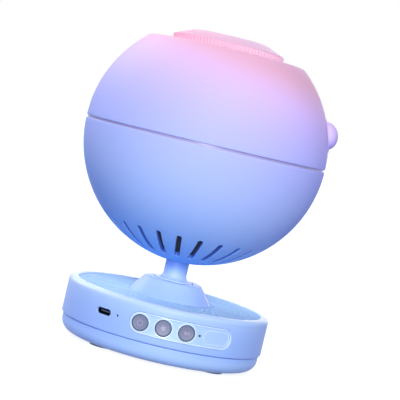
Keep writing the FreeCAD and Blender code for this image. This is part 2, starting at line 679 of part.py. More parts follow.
def pan_posts():
    """(x, y, radius, top) of every round post on the pan's floor."""
    posts = []
    for azimuth in FOOT_AZIMUTHS:
        posts.append(place_at(FOOT_PITCH_R, azimuth) + (POST_R, POST_JOINT_Z - SLIP))
    for side_x in (-1, 1):
        for side_y in (-1, 1):
            x = MAIN_BOARD_X + side_x * (MAIN_BOARD[0] / 2 - STANDOFF_INSET)
            y = side_y * (MAIN_BOARD[1] / 2 - STANDOFF_INSET)
            posts.append((x, y, STANDOFF_R, BOARD_BED))
    tail_aside = CHARGE_TAIL_RIGHT - STANDOFF_INSET
    tail_reach = CHARGE_BOARD_EDGE - CHARGE_TAIL_DEEP + STANDOFF_INSET
    for reach, aside in ((tail_reach, tail_aside), (CHARGE_BOARD_EDGE - STANDOFF_INSET, 0.0)):
        azimuth = INLET_AZIMUTH + math.degrees(math.atan2(aside, reach))
        x, y = place_at(math.hypot(reach, aside), azimuth)
        posts.append((x, y, STANDOFF_R, CHARGE_BOARD_TOP - BOARD_THICK))
    return posts


def switch_ribs():
    """Two ribs that stand behind the switch board and take the push of a finger."""
    back = SWITCH_FACE - BOARD_THICK
    ribs = []
    for x in (SWITCH_BOARD_LEFT + RIB_WIDTH, SWITCH_BOARD_RIGHT - 2 * RIB_WIDTH):
        ribs.append(block(x, x + RIB_WIDTH, -back, -back + RIB_WIDTH, PAN_FLOOR - WALL / 2,
                          SWITCH_BOARD_HIGH - 1))
    return ribs


def bottom_pan():
    """Bottom of the base: floor, curved edge, locating lip, posts and foot recesses."""
    outside = cylinder(PAN_R, FOOT_PROUD, PARTING_Z - PARTING_GAP)
    outside = round_circles(outside, PAN_ROUND, PAN_R, FOOT_PROUD)
    inside = cylinder(PAN_R - WALL, PAN_FLOOR, PARTING_Z + 1)
    inside = round_circles(inside, PAN_ROUND - WALL, PAN_R - WALL, PAN_FLOOR)
    lip_r = HOUSING_BORE - SLIP
    lip = tube(lip_r, lip_r - LIP_THICK, PARTING_Z - PARTING_GAP - WALL, PARTING_Z + LIP_HEIGHT)
    pieces = [lip] + switch_ribs()
    pieces += [cylinder(radius, PAN_FLOOR - WALL / 2, top, x, y) for x, y, radius, top in pan_posts()]
    pan = outside.cut(inside).multiFuse(pieces).removeSplitter()
    cuts = []
    for azimuth in FOOT_AZIMUTHS:
        x, y = place_at(FOOT_PITCH_R, azimuth)
        recess = cylinder(FOOT_R + SLIP, FOOT_PROUD - 1, FOOT_PROUD + FOOT_SUNK, x, y)
        well = cylinder(SCREW_HEAD_R + FREE, FOOT_PROUD, SCREW_SEAT_Z, x, y)
        shank = cylinder(SCREW_R + SLIP, FOOT_PROUD, POST_JOINT_Z + 1, x, y)
        cuts.append(recess.multiFuse([well, shank]))
    return pan.cut(Part.makeCompound(cuts))


def foot(azimuth):
    """Rubber foot in its recess under the pan."""
    x, y = place_at(FOOT_PITCH_R, azimuth)
    pad = cylinder(FOOT_R, 0, FOOT_PROUD + FOOT_SUNK, x, y)
    return round_circles(pad, FOOT_PROUD / 3, FOOT_R, 0)


def pan_screws():
    """Four screws that hold the pan to the housing, under the feet."""
    places = [place_at(FOOT_PITCH_R, azimuth) for azimuth in FOOT_AZIMUTHS]
    return Part.makeCompound([screw(x, y, SCREW_SEAT_Z, SCREW_LENGTH) for x, y in places])


def ballast_plate():
    """Steel disc on the pan's floor that keeps the projector standing when its head tips."""
    disc = cylinder(BALLAST_R, PAN_FLOOR, BALLAST_TOP)
    holes = [cylinder(radius + FREE, PAN_FLOOR - 1, BALLAST_TOP + 1, x, y)
             for x, y, radius, top in pan_posts()]
    return disc.cut(Part.makeCompound(holes))


def battery_pack():
    """Flat rechargeable cell on the ballast plate."""
    size = (BATTERY_WIDTH, BATTERY_LENGTH)
    return plate(size, BATTERY_X, 0, BALLAST_TOP, BALLAST_TOP + BATTERY_THICK, BATTERY_CORNER)


def main_board():
    """Board with the sound module and the power converter."""
    return plate(MAIN_BOARD, MAIN_BOARD_X, 0, BOARD_BED, BOARD_BED + BOARD_THICK, BOARD_CORNER)


def board_parts(blocks, cans, x, half_length, top):
    """Parts that stand on a board whose middle is at x."""
    parts = []
    for aside, share, size_x, size_y, height in blocks:
        left = x + aside - size_x / 2
        front = share * half_length - size_y / 2
        parts.append(block(left, left + size_x, front, front + size_y, top, top + height))
    for aside, share, radius, height in cans:
        parts.append(cylinder(radius, top, top + height, x + aside, share * half_length))
    return Part.makeCompound(parts)


def main_board_parts():
    """Larger parts on the main board: two chips, a coil, two sockets and two capacitors."""
    return board_parts(MAIN_BLOCKS, MAIN_CANS, MAIN_BOARD_X, MAIN_BOARD[1] / 2, BOARD_BED + BOARD_THICK)


def charge_board():
    """Small board that carries the charging inlet and its light."""
    under = CHARGE_BOARD_TOP - BOARD_THICK
    edge = CHARGE_BOARD_EDGE
    wide = block(-CHARGE_BOARD_LEFT, CHARGE_BOARD_RIGHT, -edge, -(edge - CHARGE_BOARD_DEEP), under,
                 CHARGE_BOARD_TOP)
    tail = block(-CHARGE_TAIL_LEFT, CHARGE_TAIL_RIGHT, -edge, -(edge - CHARGE_TAIL_DEEP), under,
                 CHARGE_BOARD_TOP)
    light_left = CHARGE_LIGHT_ASIDE - CHARGE_LIGHT_SIZE / 2
    light_front = -(edge - CHARGE_LIGHT_SETBACK)
    light = block(light_left, light_left + CHARGE_LIGHT_SIZE, light_front, light_front + CHARGE_LIGHT_SIZE,
                  CHARGE_BOARD_TOP, CHARGE_LIGHT_Z + PIPE_R)
    chip_front = -(edge - CHARGE_CHIP_SETBACK)
    chip = block(0, CHARGE_CHIP_SIZE, chip_front, chip_front + CHARGE_CHIP_SIZE, CHARGE_BOARD_TOP,
                 CHARGE_BOARD_TOP + CHARGE_CHIP_THICK)
    return to_azimuth(wide.multiFuse([tail, light, chip]).removeSplitter(), INLET_AZIMUTH)


def usb_shell():
    """Metal shell of the USB-C receptacle."""
    back = USB_FRONT - USB_LENGTH
    shell = front_stadium(USB_WIDTH, USB_HEIGHT, back, USB_FRONT, INLET_Z)
    mouth = front_stadium(USB_MOUTH_WIDTH, USB_MOUTH_HEIGHT, back + USB_BACK, USB_FRONT + 1, INLET_Z)
    return to_azimuth(shell.cut(mouth), INLET_AZIMUTH)


def usb_tongue():
    """Contact tongue inside the receptacle."""
    back = USB_FRONT - USB_LENGTH + USB_BACK
    half = TONGUE_HEIGHT / 2
    tongue = block(-TONGUE_WIDTH / 2, TONGUE_WIDTH / 2, -(USB_FRONT - TONGUE_SHORT), -back,
                   INLET_Z - half, INLET_Z + half)
    return to_azimuth(tongue, INLET_AZIMUTH)


def switch_board():
    """Upright board behind the three buttons."""
    return block(SWITCH_BOARD_LEFT, SWITCH_BOARD_RIGHT, -SWITCH_FACE, -(SWITCH_FACE - BOARD_THICK),
                 SWITCH_BOARD_LOW, SWITCH_BOARD_HIGH)


def tact_switches():
    """Three push switches on the switch board."""
    switches = []
    for x in BUTTON_X:
        switch = tact_switch()
        switch.rotate(Vector(0, 0, 0), Vector(1, 0, 0), 90)
        switch.translate(Vector(x, -SWITCH_FACE, CONTROLS_Z))
        switches.append(switch)
    return Part.makeCompound(switches)


def light_pipes():
    """Two clear pins: the status light in the panel and the charging light by the inlet."""
    wall_there = math.sqrt(BASE_R ** 2 - STATUS_X ** 2)
    status = towards_front(PIPE_R, SWITCH_FACE, wall_there - FREE, STATUS_X, CONTROLS_Z)
    wall_there = math.sqrt(BASE_R ** 2 - CHARGE_LIGHT_ASIDE ** 2)
    charge = charge_light_path(PIPE_R, HOUSING_BORE - PIPE_REACH, wall_there - FREE)
    return Part.makeCompound([status, charge])


def base_button(x):
    """Round button: a cap that follows the wall, a flange behind the wall and a stem."""
    cap_r = BASE_R + BUTTON_PROUD
    flange_r = BUTTON_R + BUTTON_FLANGE
    flange_front = math.sqrt(HOUSING_BORE ** 2 - (abs(x) + flange_r) ** 2) - FREE
    flange_back = flange_front - BUTTON_FLANGE
    cap = towards_front(BUTTON_R, flange_back, cap_r + 1, x, CONTROLS_Z)
    cap = cap.common(cylinder(cap_r, CONTROLS_Z - 2 * BUTTON_R, CONTROLS_Z + 2 * BUTTON_R))
    flange = towards_front(flange_r, flange_back, flange_front, x, CONTROLS_Z)
    stem_end = PLUNGER_TIP + BUTTON_TRAVEL + RUNNING
    stem = towards_front(BUTTON_STEM_R, stem_end, flange_back + BUTTON_FLANGE / 2, x, CONTROLS_Z)
    return cap.multiFuse([flange, stem]).removeSplitter()


def speaker_frame():
    """Speaker frame with its magnet, open at the top for the cone."""
    seat = SPEAKER_TOP - SPEAKER_FLANGE
    magnet_top = SPEAKER_TOP - SPEAKER_DEEP + MAGNET_THICK
    magnet_low = SPEAKER_TOP - SPEAKER_DEEP
    frame = turned([
        (0, magnet_low), (MAGNET_R, magnet_low), (MAGNET_R, magnet_top), (MAGNET_R + 1, magnet_top),
        (SPEAKER_R - SPEAKER_TAPER, seat), (SPEAKER_R, seat), (SPEAKER_R, SPEAKER_TOP),
        (SPEAKER_R - SPEAKER_RIM, SPEAKER_TOP), (SPEAKER_R - SPEAKER_RIM, seat - CONE_THICK),
        (MAGNET_R - 1, magnet_top + 1), (0, magnet_top + 1),
    ])
    frame.translate(Vector(SPEAKER_X, SPEAKER_Y, 0))
    return frame


def speaker_cone():
    """Cone with its dust cap, just inside the frame's rim."""
    edge = SPEAKER_R - SPEAKER_RIM - CONE_THICK
    outer = edge - CONE_THICK
    top = SPEAKER_TOP - CONE_THICK
    cap_r = outer * DUST_CAP_SHARE
    low = top - CONE_DEEP
    crown = low + DUST_CAP_RISE
    brow = crown - DUST_CAP_ROUND
    cone = turned([
        (0, crown), (cap_r * 0.6, brow), (cap_r, low), (outer, top - CONE_THICK), (outer, top),
        (cap_r, low + CONE_THICK), (cap_r * 0.6, brow + CONE_THICK), (0, crown + CONE_THICK),
    ])
    ring = turned([
        (outer - 0.1, top - CONE_THICK), (edge, top - CONE_THICK), (edge, top), (outer - 0.1, top),
    ])
    whole = cone.fuse(ring).removeSplitter()
    whole.translate(Vector(SPEAKER_X, SPEAKER_Y, 0))
    return whole


# ------------------------------------------------------------------ neck
def neck_stem():
    """Neck: journal in the base, flared foot, stem and the knuckle of the tilt hinge."""
    thread_r = JOURNAL_R - THREAD_SHORT
    flare_top = NECK_FOOT_TOP + NECK_FLARE_TOP
    steps = 6
    flare = []
    for step in range(steps + 1):
        part = step / steps
        radius = NECK_R + (NECK_FLARE_R - NECK_R) * (1 - math.sin(math.pi / 2 * part))
        height = flare_top - NECK_FLARE_TOP * math.cos(math.pi / 2 * part)
        flare.append((radius, height))
    outline = [
        (0, NUT_BOTTOM - 1), (thread_r, NUT_BOTTOM - 1), (thread_r, NUT_TOP), (JOURNAL_R, NUT_TOP),
        (JOURNAL_R, NECK_SEAT), (NECK_FOOT_R, NECK_SEAT), (NECK_FOOT_R, NECK_FOOT_TOP),
    ]
    outline += flare + [(NECK_R, PIVOT_Z), (0, PIVOT_Z)]
    stem = turned(outline)
    knuckle = Part.makeCylinder(KNUCKLE_R, 2 * KNUCKLE_HALF, Vector(-KNUCKLE_HALF, 0, PIVOT_Z),
                                Vector(1, 0, 0))
    stem = stem.fuse(knuckle).removeSplitter()
    bore = cylinder(NECK_BORE_R, NUT_BOTTOM - 2, PIVOT_Z + KNUCKLE_R + 1)
    pin_bore = Part.makeCylinder(PIN_R + RUNNING, 2 * KNUCKLE_HALF + 2,
                                 Vector(-KNUCKLE_HALF - 1, 0, PIVOT_Z), Vector(1, 0, 0))
    return stem.cut(bore).cut(pin_bore)


def neck_nut():
    """Slotted round nut that holds the neck in the boss."""
    nut = tube(NUT_R, JOURNAL_R - THREAD_SHORT + RUNNING, NUT_BOTTOM, NUT_TOP)
    notch = block(NUT_R - 1.5, NUT_R + 1, -1.5, 1.5, NUT_BOTTOM - 1, NUT_BOTTOM + NUT_THICK / 2)
    notches = [to_azimuth(notch, 90 * turn) for turn in range(4)]
    return nut.cut(Part.makeCompound(notches))


def stop_washer():
    """Washer keyed to the neck, with the tab that limits the swivel. The tab rests at the back."""
    ring = tube(NUT_R, JOURNAL_R + RUNNING / 2, STOP_TOP - STOP_THICK, STOP_TOP)
    half = STOP_TAB_WIDTH / 2
    tab = block(-half, half, NUT_R - 0.5, NUT_R + 2 * FREE + STOP_REACH - FREE, STOP_TOP - STOP_THICK,
                STOP_TOP)
    return ring.fuse(tab).removeSplitter()


def neck_cable():
    """Cable that runs up through the neck's bore to the head."""
    return cylinder(CABLE_R, NUT_BOTTOM - 3, PIVOT_Z + KNUCKLE_R + 1)


# ------------------------------------------------------------------ head: shells
def vent_tools():
    """Cutters for the ring of slots round the bottom of the ball."""
    low_angle = VENT_LOW + math.degrees(VENT_WIDTH / 2 / HEAD_R)
    high_angle = VENT_HIGH - math.degrees(VENT_WIDTH / 2 / HEAD_R)
    half = VENT_WIDTH / 2
    near = HEAD_BORE - 1.5
    far = (HEAD_R + 1.5) / math.cos(math.radians(high_angle - low_angle) / 2)
    corners = [(near, low_angle), (far, low_angle), (far, high_angle), (near, high_angle)]
    outline = [Vector(reach * math.sin(math.radians(angle)), -half, -reach * math.cos(math.radians(angle)))
               for reach, angle in corners]
    sector = Part.Face(Part.makePolygon(outline + outline[:1])).extrude(Vector(0, VENT_WIDTH, 0))
    ends = []
    for angle in (low_angle, high_angle):
        along = Vector(math.sin(math.radians(angle)), 0, -math.cos(math.radians(angle)))
        ends.append(Part.makeCylinder(half, far - near, along * near, along))
    slot = sector.multiFuse(ends)
    slot.translate(Vector(0, 0, HEAD_Z))
    step = 360 / VENTS
    return [to_azimuth(slot, VENT_PHASE - 90 + step * turn) for turn in range(VENTS)]


def neck_opening():
    """Cutter for the opening in the ball's bottom: it lets the neck pass as the head tips back."""
    half = NECK_R + SLOT_SIDE
    swing = math.radians(TILT_MAX)
    reach = PIVOT_RISE / math.cos(swing) + 2 * WALL
    back = reach * math.sin(swing) + NECK_R * math.cos(swing) + SLOT_SIDE - half
    low = HEAD_BOTTOM - 1
    high = PIVOT_Z - WALL
    middle = block(-half, half, 0, back, low, high)
    return middle.multiFuse([cylinder(half, low, high), cylinder(half, low, high, 0, back)])


def lower_shell():
    """Lower half of the ball: vents, neck opening, yoke posts and the chassis's columns."""
    half_space = slab(HEAD_BOTTOM - 1, SEAM_LOW)
    shell = head_ball(HEAD_R).common(half_space).cut(head_ball(HEAD_BORE))
    inside = head_ball(HEAD_BORE + WALL / 2)
    posts = []
    for side_x in (-1, 1):
        for side_y in (-1, 1):
            posts.append(cylinder(YOKE_POST_R, HEAD_BOTTOM, YOKE_Z, side_x * YOKE_POST_X,
                                  side_y * YOKE_POST_Y))
    for azimuth in COLUMN_AZIMUTHS:
        x, y = place_at(COLUMN_PITCH_R, azimuth)
        posts.append(cylinder(COLUMN_R, CHASSIS_Z - COLUMN_LENGTH, CHASSIS_Z, x, y))
    shell = shell.multiFuse([post.common(inside) for post in posts]).removeSplitter()
    cuts = vent_tools() + [neck_opening()]
    for side_x in (-1, 1):
        for side_y in (-1, 1):
            cuts.append(cylinder(SCREW_R + RUNNING, YOKE_Z - PILOT_DEPTH, YOKE_Z + 1, side_x * YOKE_POST_X,
                                 side_y * YOKE_POST_Y))
    for azimuth in COLUMN_AZIMUTHS:
        x, y = place_at(COLUMN_PITCH_R, azimuth)
        cuts.append(cylinder(SCREW_R + RUNNING, CHASSIS_Z - PILOT_DEPTH, CHASSIS_Z + 1, x, y))
    return shell.cut(Part.makeCompound(cuts))


def along_side(shape):
    """Copy of a shape made along +X from the ball's middle, turned to the side button's axis."""
    placed = shape.copy()
    placed.rotate(Vector(0, 0, 0), Vector(0, 1, 0), -SIDE_RISE)
    placed.translate(Vector(0, 0, HEAD_Z))
    return placed


def side_cylinder(radius, near, far, y=0.0):
    """Cylinder along the side button's axis between two distances from the ball's middle."""
    return Part.makeCylinder(radius, far - near, Vector(near, y, 0), Vector(1, 0, 0))


def side_pillars():
    """Two pillars inside the shell that carry the side switch."""
    pillars = [side_cylinder(SIDE_PILLAR_R, SIDE_BOARD_FACE, HEAD_R, side * SIDE_PILLAR_ASIDE)
               for side in (-1, 1)]
    return [along_side(pillar) for pillar in pillars]


def upper_shell():
    """Upper half of the ball with its flat top, the hole for the lens and the side button's guide."""
    outer = head_ball(HEAD_R).common(slab(SEAM_HIGH, TOP_Z))
    outer = round_circles(outer, SHOULDER_ROUND, SHOULDER_R, TOP_Z)
    hollow = head_ball(HEAD_BORE).common(slab(SEAM_HIGH - 1, TOP_Z - WALL))
    shell = outer.cut(hollow)
    lip = tube(HEAD_LIP_R, HEAD_LIP_R - HEAD_LIP_THICK, SEAM_LOW - HEAD_LIP, SEAM_HIGH + 2 * WALL)
    root_r = HEAD_BORE + WALL / 4
    root = tube(root_r, HEAD_LIP_R - HEAD_LIP_THICK, SEAM_HIGH, SEAM_HIGH + 2 * WALL)
    guide = along_side(side_cylinder(SIDE_HOLE_R + SIDE_GUIDE_WALL, HEAD_BORE - SIDE_GUIDE_LENGTH,
                                     HEAD_BORE + WALL / 2))
    inside = head_ball(HEAD_BORE + WALL / 2)
    inner_pieces = [piece.common(inside) for piece in [guide] + side_pillars()]
    shell = shell.multiFuse([lip, root] + inner_pieces).removeSplitter()
    cuts = [cylinder(SKIRT_R + 2 * FREE, TOP_Z - 2 * WALL, TOP_Z + 1)]
    cuts.append(along_side(side_cylinder(SIDE_HOLE_R, HEAD_BORE - 2 * SIDE_GUIDE_LENGTH, HEAD_R + 2)))
    return shell.cut(Part.makeCompound(cuts))


def dust_screen():
    """Dark mesh liner behind the vents, on the inner side of the lower shell."""
    outer_r = HEAD_BORE - FREE
    inner_r = outer_r - SCREEN_THICK
    clear_r = math.hypot(YOKE_POST_X, YOKE_POST_Y) + YOKE_POST_R + 3 * FREE
    low = HEAD_Z - math.sqrt(inner_r ** 2 - clear_r ** 2)
    high = HEAD_Z - inner_r * math.cos(math.radians(VENT_HIGH + 1.5))
    return head_ball(outer_r).cut(head_ball(inner_r)).common(slab(low, high))


# ------------------------------------------------------------------ head: tilt hinge
def sideways(radius, near, far):
    """Cylinder along X through the pivot, between two distances from the middle plane."""
    return Part.makeCylinder(radius, far - near, Vector(near, 0, PIVOT_Z), Vector(1, 0, 0))


def both_sides(shape):
    """A shape and its mirror image in the middle plane."""
    return [shape, shape.mirror(Vector(0, 0, 0), Vector(1, 0, 0))]


def tilt_yoke():
    """Bracket on the lower shell's posts whose two cheeks hold the tilt pins."""
    deck = plate((2 * YOKE_HALF_X, 2 * YOKE_HALF_Y), 0, 0, YOKE_Z, YOKE_TOP, 3.0)
    cheek = block(CHEEK_IN, CHEEK_OUT, -KNUCKLE_R, KNUCKLE_R, PIVOT_Z, YOKE_Z + YOKE_THICK / 2)
    cheek = cheek.fuse(sideways(KNUCKLE_R, CHEEK_IN, CHEEK_OUT)).removeSplitter()
    cheek = cheek.cut(sideways(PIN_R + RUNNING, CHEEK_IN - 1, CHEEK_OUT + 1))
    lifts = []
    for side_x in (-1, 1):
        for side_y in (-1, 1):
            x = side_x * (DRIVER_BOARD[0] / 2 - STANDOFF_INSET)
            y = side_y * (DRIVER_BOARD[1] / 2 - STANDOFF_INSET)
            lifts.append(cylinder(STANDOFF_R, YOKE_TOP - YOKE_THICK / 2, DRIVER_Z, x, y))
    yoke = deck.multiFuse(both_sides(cheek) + lifts).removeSplitter()
    cuts = [cylinder(KNUCKLE_R + 1, YOKE_Z - 1, YOKE_TOP + 1)]
    for side_x in (-1, 1):
        for side_y in (-1, 1):
            cuts.append(cylinder(SCREW_R + SLIP, YOKE_Z - 1, DRIVER_Z, side_x * YOKE_POST_X,
                                 side_y * YOKE_POST_Y))
            cuts.append(cylinder(SCREW_HEAD_R + SLIP, YOKE_TOP - SLIP / 2, DRIVER_Z, side_x * YOKE_POST_X,
                                 side_y * YOKE_POST_Y))
    return yoke.cut(Part.makeCompound(cuts))


def yoke_screws():
    """Four short screws that hold the yoke on the lower shell."""
    screws = []
    for side_x in (-1, 1):
        for side_y in (-1, 1):
            screws.append(screw(side_x * YOKE_POST_X, side_y * YOKE_POST_Y, YOKE_TOP, YOKE_SCREW, -1))
    return Part.makeCompound(screws)


def tilt_pins():
    """Two shoulder pins, one through each cheek into the neck's knuckle."""
    tip = KNUCKLE_HALF - PIN_GRIP
    pin = sideways(PIN_R, tip, CHEEK_OUT).fuse(sideways(PIN_HEAD_R, CHEEK_OUT, CHEEK_OUT + PIN_HEAD))
    return Part.makeCompound(both_sides(pin.removeSplitter()))


def friction_washers():
    """Two washers that hold the head where it is put, between knuckle and cheeks."""
    near = KNUCKLE_HALF + RUNNING
    washer = sideways(KNUCKLE_R - 0.5, near, near + WASHER_THICK)
    washer = washer.cut(sideways(PIN_R + 2 * RUNNING, near - 1, near + WASHER_THICK + 1))
    return Part.makeCompound(both_sides(washer))


# ------------------------------------------------------------------ head: lamp
def driver_board():
    """Board of the lamp's driver and the motor's control."""
    return plate(DRIVER_BOARD, 0, 0, DRIVER_Z, DRIVER_Z + BOARD_THICK, BOARD_CORNER)


def driver_board_parts():
    """Parts on the driver board: coil, chip, two capacitors and a socket."""
    return board_parts(DRIVER_BLOCKS, DRIVER_CANS, 0, DRIVER_BOARD[1] / 2, DRIVER_Z + BOARD_THICK)


def heat_sink():
    """Aluminium heat sink: a round plate with straight fins below it."""
    base = cylinder(SINK_R, SINK_FACE - SINK_BASE, SINK_FACE)
    count = int(SINK_R // FIN_PITCH)
    low = SINK_FACE - SINK_BASE - FIN_HEIGHT
    fins = []
    for index in range(-count + 1, count):
        x = index * FIN_PITCH
        fins.append(block(x - FIN_THICK / 2, x + FIN_THICK / 2, -SINK_R, SINK_R, low,
                          SINK_FACE - SINK_BASE / 2))
    round_fins = Part.makeCompound(fins).common(cylinder(SINK_R - 1, low, SINK_FACE - SINK_BASE / 2))
    return base.multiFuse(round_fins.Solids).removeSplitter()


def led_board():
    """Round aluminium board of the lamp."""
    return cylinder(LED_BOARD_R, SINK_FACE, SINK_FACE + BOARD_THICK)


def led_emitter():
    """The lamp itself: a square chip with a clear dome."""
    seat = SINK_FACE + BOARD_THICK
    half = LED_SIDE / 2
    chip = block(-half, half, -half, half, seat, seat + LED_THICK)
    dome = Part.makeSphere(LED_DOME_R, Vector(0, 0, seat + LED_THICK))
    dome = dome.common(slab(seat + LED_THICK / 2, seat + LED_THICK + LED_DOME_R))
    return chip.fuse(dome).removeSplitter()


def condenser_holder():
    """Tube between heat sink and chassis, with a step that carries the condenser lens."""
    bore_r = CONDENSER_R + SLIP
    holder = tube(HOLDER_R, bore_r, SINK_FACE, CHASSIS_Z)
    step = tube(bore_r + 0.5, bore_r - 1.8, CONDENSER_Z - 1.5, CONDENSER_Z)
    return holder.fuse(step).removeSplitter()


def condenser_lens():
    """Lens that gathers the lamp's light onto the film. Its flat side is down."""
    return lens(CONDENSER_R, CONDENSER_Z, CONDENSER_EDGE, CONDENSER_DOME)


def chassis():
    """Round deck at the ball's middle: bearing hub for the film, pillars for the heat sink."""
    deck = cylinder(CHASSIS_R, CHASSIS_Z, CHASSIS_TOP)
    hub = tube(HUB_R, HUB_R - HUB_WALL, CHASSIS_TOP - CHASSIS_THICK / 2, HUB_TOP)
    pieces = [hub]
    for turn in range(3):
        x, y = place_at(SINK_PILLAR_PITCH_R, 120 * turn)
        pieces.append(cylinder(SINK_PILLAR_R, SINK_FACE, CHASSIS_Z + CHASSIS_THICK / 2, x, y))
    body = deck.multiFuse(pieces).removeSplitter()
    cuts = [cylinder(LIGHT_HOLE_R, CHASSIS_Z - 1, HUB_TOP + 1)]
    cuts.append(cylinder(2 * MOTOR_SHAFT_R, CHASSIS_Z - 1, CHASSIS_TOP + 1, PINION_X, 0))
    for azimuth in COLUMN_AZIMUTHS:
        x, y = place_at(COLUMN_PITCH_R, azimuth)
        cuts.append(cylinder(SCREW_R + SLIP, CHASSIS_Z - 1, CHASSIS_TOP + 1, x, y))
    for azimuth in TOWER_AZIMUTHS:
        x, y = place_at(TOWER_REACH, azimuth)
        cuts.append(cylinder(SCREW_R + SLIP, CHASSIS_Z - 1, CHASSIS_TOP + 1, x, y))
    for azimuth in AIR_HOLE_AZIMUTHS:
        x, y = place_at(TOWER_REACH + 1, azimuth)
        cuts.append(cylinder(AIR_HOLE_R, CHASSIS_Z - 1, CHASSIS_TOP + 1, x, y))
    return body.cut(Part.makeCompound(cuts))


def chassis_screws():
    """Four screws that hold the chassis on the lower shell's columns."""
    places = [place_at(COLUMN_PITCH_R, azimuth) for azimuth in COLUMN_AZIMUTHS]
    return Part.makeCompound([screw(x, y, CHASSIS_TOP, CHASSIS_SCREW, -1) for x, y in places])


# ------------------------------------------------------------------ head: film drive
def involute(angle):
    """Involute function of an angle in radians."""
    return math.tan(angle) - angle


def gear_outline(teeth, addendum, first_tooth):
    """Outline of a spur gear. One tooth's middle lies at the angle first_tooth (degrees)."""
    pitch_r = GEAR_MODULE * teeth / 2
    base_r = pitch_r * math.cos(math.radians(PRESSURE_ANGLE))
    root_r = pitch_r - DEDENDUM * GEAR_MODULE
    tip_r = pitch_r + addendum * GEAR_MODULE
    half_pitch = (math.pi * GEAR_MODULE - BACKLASH) / 4 / pitch_r
    at_pitch = half_pitch + involute(math.radians(PRESSURE_ANGLE))
    flank_start = max(base_r, root_r)
    flank = [(root_r, None)] if root_r < flank_start else []
    for step in range(4):
        radius = flank_start + (tip_r - flank_start) * step / 3
        flank.append((radius, math.acos(min(1.0, base_r / radius))))
    outline = []
    for tooth in range(teeth):
        middle = math.radians(first_tooth) + 2 * math.pi * tooth / teeth
        side = []
        for radius, pressure in flank:
            lean = at_pitch - (involute(pressure) if pressure is not None else 0.0)
            side.append((radius, lean))
        for radius, lean in side:
            outline.append((radius * math.cos(middle - lean), radius * math.sin(middle - lean)))
        for radius, lean in reversed(side):
            outline.append((radius * math.cos(middle + lean), radius * math.sin(middle + lean)))
    return outline


def film_carrier():
    """Toothed ring that runs on the chassis's hub and carries the film disc."""
    gear = prism(gear_outline(FILM_TEETH, GEAR_ADDENDUM, 180.0), CARRIER_Z, CARRIER_Z + HUB_HEIGHT)
    rim = cylinder(FILM_R + SLIP + 1.6, CARRIER_Z + HUB_HEIGHT / 2, CARRIER_TOP)
    body = gear.fuse(rim)
    body = body.cut(cylinder(HUB_R + RUNNING, CARRIER_Z - 1, HUB_TOP + FREE))
    body = body.cut(cylinder(FILM_WINDOW_R, CARRIER_Z - 1, CARRIER_TOP + 1))
    return body.cut(cylinder(FILM_R + SLIP, FILM_SEAT, CARRIER_TOP + 1)).removeSplitter()


def film_disc():
    """Disc with the picture of the sky."""
    return cylinder(FILM_R, FILM_SEAT, FILM_SEAT + FILM_THICK)


def film_clip():
    """Ring that holds the film disc down."""
    low = FILM_SEAT + FILM_THICK
    return tube(FILM_R, FILM_R - CLIP_WIDTH, low, low + CLIP_THICK)


def gear_motor():
    """Small geared motor under the chassis."""
    can = cylinder(MOTOR_R, CHASSIS_Z - MOTOR_LENGTH, CHASSIS_Z - SLIP, PINION_X, 0)
    can = round_circles(can, 1.0, MOTOR_R, CHASSIS_Z - MOTOR_LENGTH)
    bore = cylinder(MOTOR_SHAFT_R + RUNNING, CHASSIS_Z - MOTOR_LENGTH / 3, CHASSIS_Z + 1, PINION_X, 0)
    return can.cut(bore)


def drive_pinion():
    """Pinion that turns the film carrier, on the motor's shaft."""
    outline = gear_outline(PINION_TEETH, PINION_ADDENDUM, 180.0 / PINION_TEETH)
    gear = prism(outline, CARRIER_Z, CARRIER_Z + HUB_HEIGHT, PINION_X, 0)
    shaft = cylinder(MOTOR_SHAFT_R, CHASSIS_Z - MOTOR_LENGTH / 3 + FREE, CARRIER_Z + HUB_HEIGHT + 1,
                     PINION_X, 0)
    return gear.fuse(shaft).removeSplitter()


# ------------------------------------------------------------------ head: lens and focus ring
def lens_tower():
    """Three-legged stand over the film with the sleeve that the lens barrel screws into."""
    ring_r = SLEEVE_R + TOWER_ARM / 1.5
    plate_ring = cylinder(ring_r, TOWER_Z, TOWER_Z + TOWER_THICK)
    sleeve = cylinder(SLEEVE_R, TOWER_Z, SLEEVE_TOP)
    pieces = [sleeve]
    for azimuth in TOWER_AZIMUTHS:
        arm = block(-TOWER_ARM / 2, TOWER_ARM / 2, -TOWER_REACH, -SLEEVE_R, TOWER_Z, TOWER_Z + TOWER_THICK)
        pieces.append(to_azimuth(arm, azimuth))
        x, y = place_at(TOWER_REACH, azimuth)
        pieces.append(cylinder(TOWER_PILLAR_R, CHASSIS_TOP, TOWER_Z + TOWER_THICK, x, y))
    body = plate_ring.multiFuse(pieces).removeSplitter()
    cuts = [cylinder(SLEEVE_BORE, TOWER_Z - 1, SLEEVE_TOP + 1)]
    groove_top = SKIRT_BOTTOM - RUNNING
    groove = tube(SLEEVE_R + 1, SLEEVE_R - CIRCLIP_SUNK, groove_top - CIRCLIP_THICK - RUNNING, groove_top)
    cuts.append(groove)
    for azimuth in TOWER_AZIMUTHS:
        x, y = place_at(TOWER_REACH, azimuth)
        cuts.append(cylinder(SCREW_R + RUNNING, CHASSIS_TOP - 1, CHASSIS_TOP + PILOT_DEPTH, x, y))
    return body.cut(Part.makeCompound(cuts))


def tower_screws():
    """Three screws up through the chassis into the tower's legs."""
    places = [place_at(TOWER_REACH, azimuth) for azimuth in TOWER_AZIMUTHS]
    return Part.makeCompound([screw(x, y, CHASSIS_Z, CHASSIS_THICK + TOWER_SCREW_GRIP) for x, y in places])


